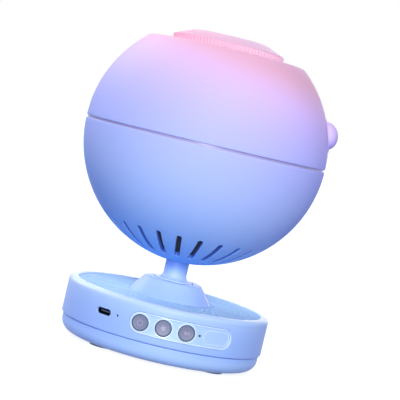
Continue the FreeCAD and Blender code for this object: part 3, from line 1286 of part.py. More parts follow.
def ring_circlip():
    """Open spring ring in the sleeve's groove. It keeps the focus ring on."""
    top = SKIRT_BOTTOM - 1.5 * RUNNING
    inner = SLEEVE_R - CIRCLIP_SUNK + RUNNING
    clip = tube(inner + CIRCLIP_WIDTH, inner, top - CIRCLIP_THICK, top)
    return clip.cut(block(-2.5, 2.5, 0, 2 * SLEEVE_R, top - 2 * CIRCLIP_THICK, top + 1))


def ribbed_band():
    """Outline of the focus ring's ribbed band."""
    outline = []
    step = 360 / RIB_COUNT
    for rib in range(RIB_COUNT):
        middle = rib * step
        for share, radius in ((-0.32, RING_R - RIB_DEPTH), (-0.18, RING_R), (0.18, RING_R),
                              (0.32, RING_R - RIB_DEPTH)):
            outline.append(polar(radius, middle + share * step))
    return outline


def focus_ring():
    """Ring that a hand turns: ribbed band, low cone, skirt in the head and keys for the barrel."""
    slope = RING_RISE / (RING_R - RING_TOP_R)
    cone_r = RING_R - RIB_DEPTH
    mouth_r = RING_TOP_R - RING_SKIN / 2
    cone_z = BAND_TOP + slope * RIB_DEPTH
    body = turned([
        (RING_BORE, SKIRT_BOTTOM), (SKIRT_R, SKIRT_BOTTOM), (SKIRT_R, RING_Z), (cone_r, RING_Z),
        (cone_r, cone_z), (RING_TOP_R, RING_TOP), (mouth_r, RING_TOP - RING_SKIN / 3),
        (mouth_r, RING_TOP - RING_SKIN), (RING_BORE, RING_CEILING),
    ])
    band = prism(ribbed_band(), RING_Z, BAND_TOP).cut(cylinder(SKIRT_R, RING_Z - 1, BAND_TOP + 1))
    key_in = BARREL_BORE + SLIP
    key_out = BARREL_R - 2 * SLIP
    key_low = RING_CEILING - KEY_LENGTH
    stick = block(-KEY_WIDTH / 2, KEY_WIDTH / 2, -(key_out + 1), -(key_in - 1), key_low, RING_CEILING + 1.2)
    stick = stick.common(tube(key_out, key_in, key_low, RING_TOP))
    keys = [to_azimuth(stick, 360 / KEY_COUNT * turn) for turn in range(KEY_COUNT)]
    return body.multiFuse([band] + keys).removeSplitter()


def lens_barrel():
    """Barrel of the projection lens, keyed to the focus ring and screwed in the sleeve."""
    rear_bore = REAR_LENS_R + SLIP
    barrel = turned([
        (rear_bore - REAR_LIP, BARREL_BOTTOM), (BARREL_R, BARREL_BOTTOM), (BARREL_R, BARREL_TOP),
        (BARREL_BORE, BARREL_TOP), (BARREL_BORE, FRONT_SEAT_Z), (rear_bore, FRONT_SEAT_Z),
        (rear_bore, BARREL_BOTTOM + REAR_LIP), (rear_bore - REAR_LIP, BARREL_BOTTOM + REAR_LIP),
    ])
    half = KEY_WIDTH / 2 + FREE
    slot_low = RING_CEILING - KEY_LENGTH - FOCUS_TRAVEL - 3 * FREE
    slot = block(-half, half, -(BARREL_R + 1), -(BARREL_BORE - 1), slot_low, BARREL_TOP + 1)
    slots = [to_azimuth(slot, 360 / KEY_COUNT * turn) for turn in range(KEY_COUNT)]
    return barrel.cut(Part.makeCompound(slots))


def front_lens():
    """Front lens of the projection lens."""
    return lens(BARREL_BORE - SLIP, FRONT_SEAT_Z + RUNNING, FRONT_LENS_EDGE, FRONT_LENS_DOME)


def lens_retainer():
    """Ring that holds the front lens in the barrel."""
    low = FRONT_SEAT_Z + 2 * RUNNING + FRONT_LENS_EDGE
    outer = BARREL_BORE - SLIP
    return tube(outer, outer - 1.8, low + 0.6, low + RETAINER_THICK)


def rear_lens():
    """Rear lens of the projection lens, flat side down."""
    return lens(REAR_LENS_R, BARREL_BOTTOM + REAR_LIP + RUNNING, REAR_LENS_EDGE, REAR_LENS_DOME)


# ------------------------------------------------------------------ head: side button
def side_button():
    """Domed push button in the side of the head."""
    stalk = side_cylinder(SIDE_R, SIDE_FLANGE_BACK, SIDE_CENTRE)
    dome = Part.makeSphere(SIDE_R, Vector(SIDE_CENTRE, 0, 0))
    dome = dome.common(block(SIDE_CENTRE - 1, HEAD_R + 2 * SIDE_R, -SIDE_R * 2, SIDE_R * 2, -SIDE_R * 2,
                             SIDE_R * 2))
    flange_front = HEAD_BORE - SIDE_GUIDE_LENGTH - FREE
    flange = side_cylinder(SIDE_R + SIDE_FLANGE, SIDE_FLANGE_BACK, flange_front)
    return along_side(stalk.multiFuse([dome, flange]).removeSplitter())


def side_collar():
    """Thin ring round the side button's hole, on the outside of the shell."""
    outer = SIDE_HOLE_R + SIDE_COLLAR_WIDTH
    ring = side_cylinder(outer, HEAD_R - WALL, HEAD_R + SIDE_COLLAR_PROUD)
    ring = ring.cut(side_cylinder(SIDE_HOLE_R, HEAD_R - 2 * WALL, HEAD_R + 2))
    return along_side(ring).cut(head_ball(HEAD_R + RUNNING / 2))


def side_switch():
    """Board and push switch behind the side button."""
    back = SIDE_BOARD_FACE - BOARD_THICK
    half_y = SIDE_PILLAR_ASIDE + SIDE_PILLAR_R
    board = block(back, SIDE_BOARD_FACE, -half_y, half_y, -SIDE_BOARD_HALF, SIDE_BOARD_HALF)
    switch = tact_switch()
    switch.rotate(Vector(0, 0, 0), Vector(0, 1, 0), 90)
    switch.translate(Vector(SIDE_BOARD_FACE, 0, 0))
    return Part.makeCompound([along_side(board), along_side(switch)])


# ------------------------------------------------------------------ every node
NODES = {
    "base_housing": base_housing,
    "grille_plate": grille_plate,
    "control_panel": control_panel,
    "bottom_pan": bottom_pan,
    "pan_screws": pan_screws,
    "ballast_plate": ballast_plate,
    "battery_pack": battery_pack,
    "main_board": main_board,
    "main_board_parts": main_board_parts,
    "charge_board": charge_board,
    "usb_shell": usb_shell,
    "usb_tongue": usb_tongue,
    "switch_board": switch_board,
    "tact_switches": tact_switches,
    "light_pipes": light_pipes,
    "speaker_frame": speaker_frame,
    "speaker_cone": speaker_cone,
    "neck_stem": neck_stem,
    "neck_nut": neck_nut,
    "stop_washer": stop_washer,
    "neck_cable": neck_cable,
    "lower_shell": lower_shell,
    "upper_shell": upper_shell,
    "dust_screen": dust_screen,
    "tilt_yoke": tilt_yoke,
    "yoke_screws": yoke_screws,
    "tilt_pins": tilt_pins,
    "friction_washers": friction_washers,
    "driver_board": driver_board,
    "driver_board_parts": driver_board_parts,
    "heat_sink": heat_sink,
    "led_board": led_board,
    "led_emitter": led_emitter,
    "condenser_holder": condenser_holder,
    "condenser_lens": condenser_lens,
    "chassis": chassis,
    "chassis_screws": chassis_screws,
    "film_carrier": film_carrier,
    "film_disc": film_disc,
    "film_clip": film_clip,
    "gear_motor": gear_motor,
    "drive_pinion": drive_pinion,
    "lens_tower": lens_tower,
    "tower_screws": tower_screws,
    "ring_circlip": ring_circlip,
    "focus_ring": focus_ring,
    "lens_barrel": lens_barrel,
    "front_lens": front_lens,
    "lens_retainer": lens_retainer,
    "rear_lens": rear_lens,
    "side_button": side_button,
    "side_collar": side_collar,
    "side_switch": side_switch,
}

os.makedirs("parts", exist_ok=True)
for name, build in NODES.items():
    build().exportStep("parts/" + name + ".step")
for number, azimuth in enumerate(FOOT_AZIMUTHS, 1):
    foot(azimuth).exportStep("parts/foot_" + str(number) + ".step")
for name, x in zip(("left", "middle", "right"), BUTTON_X):
    base_button(x).exportStep("parts/button_" + name + ".step")
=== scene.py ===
# %% [markdown]
# # A planetarium projector, dressed in Blender
# The CAD model comes in first, as a fixed frame: every solid is already where it belongs, in metres.
# Each later cell either dresses one of those solids with a material or stands a finer piece in its
# place. The real object is a set of injection mouldings with a sprayed finish, so most of the work
# is in thin seams, softened edges and the slow change of colour from blue to pink.

# %% Load the frame
import bpy
import bmesh
import math
from mathutils import Matrix, Vector


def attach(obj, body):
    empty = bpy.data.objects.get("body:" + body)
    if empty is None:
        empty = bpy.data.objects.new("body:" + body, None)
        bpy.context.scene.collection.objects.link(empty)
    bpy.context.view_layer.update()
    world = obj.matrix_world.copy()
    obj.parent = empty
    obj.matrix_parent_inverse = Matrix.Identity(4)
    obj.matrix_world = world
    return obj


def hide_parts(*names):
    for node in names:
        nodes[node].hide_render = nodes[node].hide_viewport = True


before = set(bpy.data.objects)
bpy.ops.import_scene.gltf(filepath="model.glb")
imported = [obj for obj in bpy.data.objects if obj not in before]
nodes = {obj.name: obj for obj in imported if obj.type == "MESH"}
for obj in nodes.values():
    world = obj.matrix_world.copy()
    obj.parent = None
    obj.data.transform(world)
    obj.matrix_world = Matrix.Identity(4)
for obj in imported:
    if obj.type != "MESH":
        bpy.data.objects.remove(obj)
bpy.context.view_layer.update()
MM = 0.001

# %% [markdown]
# ## Colours and shader nodes
# Colours are picked as sRGB hex values, the way a paint chart gives them, but a shader works with
# linear light. One function does that change. Another adds a shader node with its settings and its
# links, so that each material below reads as a short list of steps. A node's input takes either a
# plain value or another node's output, and the same small table says which.

# %% Helpers for materials
def paint(code):
    """Linear colour of an sRGB hex value."""
    channels = [int(code[start:start + 2], 16) / 255 for start in (1, 3, 5)]
    return [c / 12.92 if c <= 0.04045 else ((c + 0.055) / 1.055) ** 2.4 for c in channels] + [1.0]


def wire(tree, node, inputs):
    """Gives each named input of a node a value, or a link where it is another node's output."""
    for name, value in inputs.items():
        if isinstance(value, bpy.types.NodeSocket):
            tree.links.new(value, node.inputs[name])
        else:
            node.inputs[name].default_value = value


def add(tree, kind, inputs=None, stops=(), **settings):
    """Adds a shader node: its settings, its inputs, and (place, colour) stops where it is a ramp."""
    made = tree.nodes.new("ShaderNode" + kind)
    for name, value in settings.items():
        setattr(made, name, value)
    wire(tree, made, inputs or {})
    if stops:
        row = made.color_ramp.elements
        for stop, (place, code) in zip(row, (stops[0], stops[-1])):
            stop.position = place
            stop.color = paint(code)
        for place, code in stops[1:-1]:
            row.new(place).color = paint(code)
    return made


def start_material(name, color, **finish):
    """A new material: its shader, and the object's own coordinates in millimetres."""
    material = bpy.data.materials.new(name)
    material.use_nodes = True
    tree = material.node_tree
    tree.nodes.clear()
    values = {socket.replace("_", " "): value for socket, value in finish.items()}
    shader = add(tree, "BsdfPrincipled", {"Base Color": paint(color), **values})
    add(tree, "OutputMaterial", {"Surface": shader.outputs[0]})
    place = add(tree, "TexCoord")
    scale = add(tree, "Mapping", {"Vector": place.outputs["Object"], "Scale": (1 / MM, 1 / MM, 1 / MM)})
    return material, tree, shader, scale.outputs[0]


# %% [markdown]
# ## The grain of a moulding
# A steel mould is etched or sparked, and the plastic takes that grain: bumps of about 0.3 mm, a few
# hundredths deep, with soft clouds of slightly duller and shinier skin where the melt flowed. Two
# noise patterns give both. The grain is drawn at 0.5 mm, a little coarser than life, so that it still
# shows in a render of the whole object. The clouds also tint the colour by a hair.

# %% Grain
CLOUD = 14  # millimetres from one cloud to the next
NOISE_LOW, NOISE_HIGH = 0.3, 0.7  # a noise pattern seldom leaves this range


def grain(tree, shader, mm, size=0.5, depth=0.02, rough=(0.3, 0.4)):
    """Moulded skin: a fine bump, and roughness that drifts between two values."""
    fine = add(tree, "TexNoise", {"Vector": mm, "Scale": 1 / size, "Detail": 3.0})
    clouds = add(tree, "TexNoise", {"Vector": mm, "Scale": 1 / CLOUD, "Detail": 2.0})
    dull = add(tree, "MapRange", {"Value": clouds.outputs["Fac"], "From Min": NOISE_LOW,
                                  "From Max": NOISE_HIGH, "To Min": rough[0], "To Max": rough[1]})
    bump = add(tree, "Bump", {"Height": fine.outputs["Fac"], "Strength": 0.5, "Distance": depth * MM})
    wire(tree, shader, {"Roughness": dull.outputs["Result"], "Normal": bump.outputs["Normal"]})
    return clouds.outputs["Fac"]


def moulded(name, color, deep, size=0.5, depth=0.02, rough=(0.3, 0.4), **finish):
    """Injection-moulded plastic that drifts between two near colours."""
    material, tree, shader, mm = start_material(name, color, **finish)
    clouds = grain(tree, shader, mm, size, depth, rough)
    ramp = add(tree, "ValToRGB", {"Fac": clouds}, [(NOISE_LOW, deep), (NOISE_HIGH, color)])
    wire(tree, shader, {"Base Color": ramp.outputs["Color"]})
    return material


# %% [markdown]
# ## The ball's finish
# The head is ABS, sprayed with a satin lacquer that fades without a break from deep blue under the
# ball, through periwinkle at the seam, to pink round the lens. The deep blue low down is partly the
# lacquer and partly painted shade under the ball, and the deeper pink on the ring's ribbed band is
# painted shade. Both halves, the ring and the side button are sprayed together, so one fade on the
# height above the table serves them all. It leans a little to the side, as a hand-held spray would
# leave it. Satin gives a broad, weak gloss, so the roughness is high, the specular level is low, and
# there is no clear coat.

# %% Fade from blue to pink
# The low stops are partly painted shade under the ball. The dip to a deeper pink at 158 mm, on the ring's
# ribbed band, is painted shade.
FADE = [  # millimetres above the table, and the colour there
    (44.0, "#6cabfb"), (52.0, "#80b7fd"), (60.0, "#9ac7fe"), (68.0, "#a9cdff"), (80.0, "#b9d4ff"),
    (95.0, "#bfd0ff"), (109.5, "#c0c9ff"), (122.0, "#cac7ff"), (133.0, "#d9c9ff"), (143.0, "#ebcaf8"),
    (152.0, "#f8c4d9"), (158.0, "#f8b8c9"), (165.0, "#f8d2e4"),
]
FADE_LEAN = 0.14  # how much the fade climbs per millimetre to the side
LACQUER_GRAIN = 0.8  # lacquer levels out, so its skin is coarser and shallower than bare plastic
LACQUER_DEPTH = 0.008
CLOUD_TINT = 0.02  # how much the clouds may darken the colour


def faded(name, table, climb, rough=(0.58, 0.66), **finish):
    """Sprayed lacquer whose colour follows the height above the table."""
    material, tree, shader, mm = start_material(name, table[len(table) // 2][1], **finish)
    clouds = grain(tree, shader, mm, LACQUER_GRAIN, LACQUER_DEPTH, rough)
    parts = add(tree, "SeparateXYZ", {"Vector": mm})
    lean = add(tree, "Math", {0: parts.outputs["X"], 1: climb}, operation="MULTIPLY")
    height = add(tree, "Math", {0: parts.outputs["Z"], 1: lean.outputs[0]}, operation="ADD")
    low, high = table[0][0], table[-1][0]
    share = add(tree, "MapRange", {"Value": height.outputs[0], "From Min": low, "From Max": high})
    ramp = add(tree, "ValToRGB", {"Fac": share.outputs["Result"]},
               [((level - low) / (high - low), code) for level, code in table])
    ramp.color_ramp.interpolation = "B_SPLINE"
    shade = add(tree, "MapRange", {"Value": clouds, "To Min": 1 - CLOUD_TINT})
    mix = add(tree, "Mix", {"Factor": 1.0, 6: ramp.outputs["Color"], 7: shade.outputs["Result"]},
              data_type="RGBA", blend_type="MULTIPLY")
    wire(tree, shader, {"Base Color": mix.outputs[2]})
    return material


# %% [markdown]
# ## Turned shapes
# Most pieces here are round, so most begin the way a lathe works: a few points make half the
# outline, the corners are rounded by a vertex bevel, and a full spin sweeps it round the upright
# axis. Doubles are merged first and the normals are recalculated after, because a spin may turn them
# inwards. Lengths are millimetres until a piece is finished.

# %% Helpers for shapes
def outward(form):
    """Form with its faces pointing outwards."""
    bmesh.ops.recalc_face_normals(form, faces=form.faces)
    if form.calc_volume(signed=True) < 0:
        bmesh.ops.reverse_faces(form, faces=form.faces)
    return form


def turned(outline, steps=192):
    """Shape turned round the upright axis from (radius, height, rounding) points."""
    form = bmesh.new()
    points = [form.verts.new((point[0], 0, point[1])) for point in outline]
    pairs = list(zip(points, points[1:]))
    if outline[0][0] > 0:  # an outline that starts off the axis is a closed ring
        pairs.append((points[-1], points[0]))
    for pair in pairs:
        form.edges.new(pair)
    for vertex, point in zip(points, outline):
        if len(point) > 2:
            bmesh.ops.bevel(form, geom=[vertex], offset=point[2], segments=4 + int(1.5 * point[2]),
                            affect="VERTICES", profile=0.5, material=-1)
    bmesh.ops.spin(form, geom=form.verts[:] + form.edges[:], cent=(0, 0, 0), axis=(0, 0, 1),
                   dvec=(0, 0, 0), angle=2 * math.pi, steps=steps, use_merge=True)
    bmesh.ops.remove_doubles(form, verts=form.verts, dist=0.001)
    return outward(form)


def to_mesh(form, name):
    """Mesh of a finished form."""
    mesh = bpy.data.meshes.new(name)
    form.to_mesh(mesh)
    form.free()
    return mesh


def joined(*forms):
    """One form out of several that don't meet or only touch."""
    whole = forms[0]
    for other in forms[1:]:
        whole.from_mesh(to_mesh(other, "part"))
    return whole


def carved(form, *tools, operation="DIFFERENCE"):
    """Form after each tool has been cut from it or joined to it."""
    for tool in tools:
        body = bpy.data.objects.new("body", to_mesh(form, "body"))
        cutter = bpy.data.objects.new("cutter", to_mesh(tool, "cutter"))
        for made in (body, cutter):
            bpy.context.scene.collection.objects.link(made)
        cut = body.modifiers.new("cut", "BOOLEAN")
        cut.object = cutter
        cut.operation = operation
        cut.solver = "EXACT"
        bpy.context.view_layer.update()
        shaped = body.evaluated_get(bpy.context.evaluated_depsgraph_get())
        form = bmesh.new()
        form.from_mesh(bpy.data.meshes.new_from_object(shaped))
        for made in (body, cutter):
            bpy.data.objects.remove(made)
    return form


def moved(form, matrix):
    """Form after a turn or a move."""
    bmesh.ops.transform(form, matrix=matrix, verts=form.verts)
    return form


def placed(name, form, material, body, slot, *replaced, smooth=32):
    """Finished piece: in metres, smooth except at corners sharper than smooth degrees."""
    bmesh.ops.scale(form, vec=(MM, MM, MM), verts=form.verts)
    mesh = to_mesh(form, name)
    mesh.shade_smooth()
    mesh.set_sharp_from_angle(angle=math.radians(smooth))
    mesh.materials.clear()
    mesh.materials.append(material)
    piece = bpy.data.objects.new(name, mesh)
    bpy.context.scene.collection.objects.link(piece)
    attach(piece, body)
    if replaced:
        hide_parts(*replaced)
    print(name, len(mesh.polygons), "faces")
    return piece


def refinish(piece, material, chosen):
    """Gives a second material to the faces whose middle, in millimetres, passes the test."""
    piece.data.materials.append(material)
    for face in piece.data.polygons:
        if chosen(face.center / MM):
            face.material_index = 1


# %% [markdown]
# ## The ball
# The head is two moulded half shells, 125 mm across and 2.2 mm thick. A cut sphere with a Solidify
# would give the lower one, but the upper one also has a flat top with a crisp shoulder and a lens
# hole. So both are turned from a full section of the wall, outside and inside in one outline.

# %% Upper shell
BALL_R = 62.5
BALL_Z = 109.5  # the ball's middle above the table
BALL_STEPS = 240
WALL = 2.2
SEAM = 1.2  # height of the joint between the halves
SHOULDER_R = 40.3  # radius of the flat top
LENS_HOLE_R = 27.5
EDGE = 0.3  # the small round on the shells' rims
UPPER_ROWS, LOWER_ROWS = 36, 64  # rows of faces from the seam to the top and to the bottom
FLAT = math.sqrt(BALL_R ** 2 - SHOULDER_R ** 2)


def arc(radius, low, high, steps):
    """Outline points on a circle round the ball's middle, between two heights."""
    start, end = math.asin(low / radius), math.asin(high / radius)
    angles = [start + (end - start) * step / steps for step in range(steps + 1)]
    return [(radius * math.cos(angle), radius * math.sin(angle)) for angle in angles]


skin = arc(BALL_R, SEAM / 2, FLAT, UPPER_ROWS)
bore = arc(BALL_R - WALL, FLAT - WALL, SEAM / 2, UPPER_ROWS)
top = [(SHOULDER_R, FLAT, 1.0), (LENS_HOLE_R, FLAT, EDGE), (LENS_HOLE_R, FLAT - WALL)]
upper = turned([skin[0] + (EDGE,)] + skin[1:-1] + top + bore, BALL_STEPS)
ball_middle = Matrix.Translation((0, 0, BALL_Z))
print("upper shell:", len(upper.faces), "faces, shoulder at", round(BALL_Z + FLAT, 2), "mm")

# %% [markdown]
# The side button's hole goes through the upper shell, on a line 16.8 degrees above level. The tool
# that cuts it is turned on the same lathe and flares at the top, so that it leaves a rounded edge.
# The lip is a ring of bare plastic that locates the halves on each other. It stands in the joint,
# just below the skin, so the seam reads as a thin mauve line and not as a black gap.

# %% Side button's hole and the locating lip
SIDE_RISE = math.radians(16.8)
SIDE_HOLE_R = 7.5
side_axis = Matrix.Rotation(math.pi / 2 - SIDE_RISE, 4, "Y")
hole = turned([(0, 50), (SIDE_HOLE_R, 50), (SIDE_HOLE_R, 62.35, 0.3), (12, 62.35), (12, 70), (0, 70)], 64)
upper = carved(upper, moved(hole, side_axis))
lip = turned([(58.6, -2.6), (60.13, -2.6, 0.3), (60.13, -SEAM / 2), (61.75, -SEAM / 2), (61.75, SEAM),
              (60.3, SEAM), (60.0, 4.6), (58.6, 4.6)], BALL_STEPS)
print("upper shell with its side hole:", len(upper.faces), "faces, lip:", len(lip.faces), "faces")

# %% [markdown]
# The lower half has 24 slots that let the lamp's warmth out. Each one is 2.4 mm wide with round ends,
# and its edge is softly rounded, which is what catches the light. A slot's tool starts as a round
# plug off the lathe, flared at the top, is pulled long, and is then bent over the ball.

# %% Slots
VENTS = 24
VENT_PHASE = -3.5  # degrees aside of the front slot
VENT_LOW, VENT_HIGH = math.radians(22.5), math.radians(42.0)  # a slot's ends, from straight down
VENT_HALF = 1.2
VENT_ROUND = 0.55
VENT_REACH = BALL_R * (VENT_HIGH - VENT_LOW) / 2 - VENT_HALF
PLUG_DEPTH = -5  # a plug starts this far in from the skin, well past the wall
PROUD = 0.03  # a plug's flare ends just above the skin, so that no thin film is left
FLARE, CAP = 0.5, 3  # how far the flare runs past the rounded edge, and how high its cap is


def stretched(form, reach, cuts):
    """Pulls a turned form long along X and cuts it across, so that it can bend."""
    for vertex in form.verts:
        if abs(vertex.co.x) > 0.001:
            vertex.co.x += math.copysign(reach, vertex.co.x)
    far = max(vertex.co.x for vertex in form.verts)
    for cut in range(1, cuts):
        bmesh.ops.bisect_plane(form, geom=form.verts[:] + form.edges[:] + form.faces[:],
                               plane_co=(far * (2 * cut / cuts - 1), 0, 0), plane_no=(1, 0, 0))
    return form


def long_plug(radius, reach, low, high, rounding, cuts, steps=38):
    """Plug with round ends and a flared top."""
    wide = radius + rounding + FLARE
    cap = high + CAP
    outline = [(0, low), (radius, low), (radius, high, rounding), (wide, high), (wide, cap), (0, cap)]
    return stretched(turned(outline, steps), reach, cuts)


def bent_over_ball(form, middle):
    """Bends a form that lies along X over the ball, at a middle angle from straight down."""
    for vertex in form.verts:
        angle = middle + vertex.co.x / BALL_R
        reach = BALL_R + vertex.co.z
        vertex.co = (reach * math.sin(angle), vertex.co.y, -reach * math.cos(angle))
    return outward(form)


vents = []
for number in range(VENTS):
    vent = long_plug(VENT_HALF, VENT_REACH, PLUG_DEPTH, PROUD, VENT_ROUND, 12)
    vent = bent_over_ball(vent, (VENT_LOW + VENT_HIGH) / 2)
    azimuth = math.radians(VENT_PHASE - 90 + number * 360 / VENTS)
    vents.append(moved(vent, Matrix.Rotation(azimuth, 4, "Z")))
slots = joined(*vents)
print(VENTS, "slot tools,", round(2 * (VENT_REACH + VENT_HALF), 1), "mm long")

# %% [markdown]
# The opening in the bottom lets the neck swing as the ball tips back. It is a long slot too, wider,
# and runs from under the ball's middle towards the back. Its length follows from the largest tilt:
# the neck's axis leaves the pivot at that angle, and half the neck and a small gap are added.

# %% Lower shell
PIVOT_Z = 60.0  # the tilt axis above the table
TILT_MAX = math.radians(35)
NECK_R = 6.05
OPENING_GAP = 0.75
OPENING_HALF = NECK_R + OPENING_GAP
OPENING_ROUND = 0.5
leg = (PIVOT_Z - BALL_Z + BALL_R) / math.cos(TILT_MAX) + 2 * WALL
OPENING_BACK = leg * math.sin(TILT_MAX) + NECK_R * math.cos(TILT_MAX) + OPENING_GAP - OPENING_HALF
opening = long_plug(OPENING_HALF, OPENING_BACK / 2, PLUG_DEPTH, PROUD, OPENING_ROUND, 8, 62)
opening = bent_over_ball(opening, OPENING_BACK / 2 / BALL_R)
opening = moved(opening, Matrix.Rotation(math.pi / 2, 4, "Z"))
skin = arc(BALL_R, -BALL_R, -SEAM / 2, LOWER_ROWS)
bore = arc(BALL_R - WALL, -SEAM / 2, WALL - BALL_R, LOWER_ROWS)
lower = turned([(0, -BALL_R)] + skin[1:-1] + [skin[-1] + (EDGE,)] + bore[:-1] + [(0, WALL - BALL_R)],
               BALL_STEPS)
lower = carved(lower, slots, opening)
print("lower shell:", len(lower.faces), "faces, opening",
      round(OPENING_BACK + 2 * OPENING_HALF, 1), "mm long")

# %% [markdown]
# Both halves get the lacquer, and the lip stays bare. The walls of the slots and of the opening get a
# deeper blue, which is painted shade inside them. A second material on the same mesh gives that, for
# the faces whose middle lies inside the thickness of the wall.

# %% Finish of the two halves
BELT_TOP = -BALL_R * math.cos(VENT_HIGH + 0.08)  # just above the slots, from the ball's middle
WALL_IN, WALL_OUT = BALL_R - WALL + 0.05, BALL_R - 0.35  # the stretch of a slot's wall that gets painted shade
lacquer = faded("pearl_lacquer_with_painted_shade", FADE, FADE_LEAN, Specular_IOR_Level=0.2)
bare_mauve = moulded("bare_abs_mauve", "#a8a2c6", "#a09abf")
# Painted shade: the deeper blue on the walls of the slots and the opening.
slot_wall_painted_shade = moulded("deep_blue_painted_shade", "#5c84dc", "#557cd4", rough=(0.4, 0.5))
placed("ball_upper_half", moved(upper, ball_middle), lacquer, "head", "upper_shell_abs", "upper_shell")
placed("ball_lip", moved(lip, ball_middle), bare_mauve, "head", "upper_shell_abs")
made = placed("ball_lower_half", moved(lower, ball_middle), lacquer, "head", "lower_shell_abs", "lower_shell")


def cut_wall(middle):
    """True inside the thickness of the wall, in the belt of the slots and below it."""
    from_middle = middle - Vector((0, 0, BALL_Z))
    return from_middle.z < BELT_TOP and WALL_IN < from_middle.length < WALL_OUT


refinish(made, slot_wall_painted_shade, cut_wall)

# %% [markdown]
# ## The focusing ring
# A hand turns this ring to focus the stars. Its low band has 96 fine ribs for grip, with a shallow
# cone above and a skirt that runs in the ball. The band is turned in 768 steps, eight to a rib, and
# its outer points are then drawn in and out in a soft wave.

# %% Focusing ring
RING_R = 28.8
RIBS = 96
RIB_DEPTH = 0.4
GRIP_R = 28.5  # the band's points lie outside this radius
GRIP_TOP = 160.45  # and below this height
ring = turned([(24.6, 150.3), (26.9, 150.3, 0.3), (26.9, 157.57), (28.3, 157.57, 0.25), (RING_R, 157.9),
               (RING_R, 158.8), (RING_R, 159.7), (RING_R, 160.4, 0.25), (28.35, 160.8, 0.2),
               (18.6, 164.77, 0.6), (17.7, 164.1, 0.3), (17.7, 163.0), (24.6, 160.6)], 8 * RIBS)
for vertex in ring.verts:
    reach = math.hypot(vertex.co.x, vertex.co.y)
    if reach > GRIP_R and vertex.co.z < GRIP_TOP:
        phase = math.atan2(vertex.co.y, vertex.co.x) * RIBS
        share = 1 - RIB_DEPTH * (0.5 - 0.5 * math.cos(phase)) / reach
        vertex.co.x *= share
        vertex.co.y *= share
placed("focusing_ring", ring, lacquer, "focus_ring", "focus_ring_abs", "focus_ring", smooth=40)

# %% [markdown]
# ## The side button
# A smooth dome that switches the lamp, in a thin collar on the ball's right side. Both are turned
# upright and then laid over on the button's axis.

# %% Side button and collar
DOME_R = 7.2
DOME_FOOT = 61.6  # along the button's axis, from the ball's middle
DOME_HIGH = 6.2
DOME_ROWS = 15
side_seat = ball_middle @ side_axis
dome = []
for row in range(DOME_ROWS):
    angle = math.radians(90 * row / DOME_ROWS)
    dome.append((DOME_R * math.cos(angle), DOME_FOOT + DOME_HIGH * math.sin(angle)))
button = turned([(0, 55.6), (8.6, 55.6, 0.2), (8.6, 56.7, 0.2), (DOME_R, 56.7)] + dome
                + [(0, DOME_FOOT + DOME_HIGH)], 96)
placed("side_button_dome", moved(button, side_seat), lacquer, "side_button", "side_button_plastic",
       "side_button")
collar = turned([(SIDE_HOLE_R, 61.0), (8.8, 61.0), (8.8, 62.05, 0.1), (8.5, 62.3, 0.1),
                 (SIDE_HOLE_R, 62.4, 0.2)], 96)
placed("side_button_collar", moved(collar, side_seat), lacquer, "head", "lower_shell_abs", "side_collar")

# %% [markdown]
# ## The base
# The housing is one lathe shape: an upright wall with a generous round at the rim, and a ledge that
# carries the grille. The boss in the middle, which holds the neck, is turned on its own. Five spokes
# under the grille tie the two together. They run square to the lathe's axis, so a boolean union
# joins them.

# %% Wall, boss and spokes
BASE_R = 52.4
BASE_TOP = 29.1
SPOKES = (0, 60, 115, -60, -115)  # degrees from the front
SPOKE = Matrix.Translation((0, -34.8, 25.8)) @ Matrix.Diagonal((5, 23, 1.6, 1))
wall = turned([
    (50.2, 10.0, 0.2), (BASE_R, 10.0, 0.6), (BASE_R, BASE_TOP, 2.4), (47.92, BASE_TOP, 0.5), (47.92, 26.8),
    (45.3, 26.8), (45.3, 25.0), (50.2, 25.0, 0.6),
], 288)
boss = turned([
    (7.05, 22.9), (10.2, 22.9), (10.2, 34.3), (15.5, 34.3), (19.0, 28.4), (19.0, 25.0), (24.4, 25.0),
    (24.4, 26.8), (21.5, 26.8), (21.5, 28.4, 0.5), (14.7, 37.5, 1.2), (10.4, 37.5, 0.35), (10.4, 36.5, 0.15),
    (7.05, 36.5),
], 192)
spokes = bmesh.new()
for azimuth in SPOKES:
    bmesh.ops.create_cube(spokes, size=1, matrix=Matrix.Rotation(math.radians(azimuth), 4, "Z") @ SPOKE)
housing = carved(wall, boss, spokes, operation="UNION")
print("housing before its holes:", len(housing.faces), "faces")

# %% [markdown]
# The front wall takes the pocket for the control panel, the holes of the three buttons and of the
# status light, the charging inlet with the room for its metal shell, and the pinhole of the charge
# light beside it. A long cutter is made flat and wrapped round the wall. A round one is turned and
# laid over to point at the front.

# %% Tools for the front wall
CONTROLS_Z = 19.0  # height of the row of controls
BUTTON_STEP = 11.5
BUTTON_HOLE_R = 4.3
BUTTONS = (("left", -BUTTON_STEP), ("middle", 0.0), ("right", BUTTON_STEP))
STATUS_X = 17.96
STATUS_HOLE_R = 0.7
DRILL_FROM, DRILL_TO = 47, 60  # from the base's axis: inside and outside its wall
PANEL_R = 5.35  # half the panel's height
PANEL_END = 29.57  # how far aside the panel's right-hand round has its middle
PANEL_STEPS, PANEL_CUTS = 62, 44  # faces round its ends, and cuts along it for a smooth bend
PANEL_LEFT = -BASE_R * math.asin(BUTTON_STEP / BASE_R)
PANEL_RIGHT = BASE_R * math.asin(PANEL_END / BASE_R)
PANEL_HALF = (PANEL_RIGHT - PANEL_LEFT) / 2
PANEL_MIDDLE = (PANEL_RIGHT + PANEL_LEFT) / 2
POCKET_GAP, POCKET_FLOOR = 0.1, -0.92
INLET_AZIMUTH = math.radians(-35.1)
INLET_UP = 0.2
INLET_STEPS, INLET_CUTS = 38, 10
MOUTH_R, MOUTH_REACH = 1.6, 2.75  # the inlet's round ends, and half its straight stretch
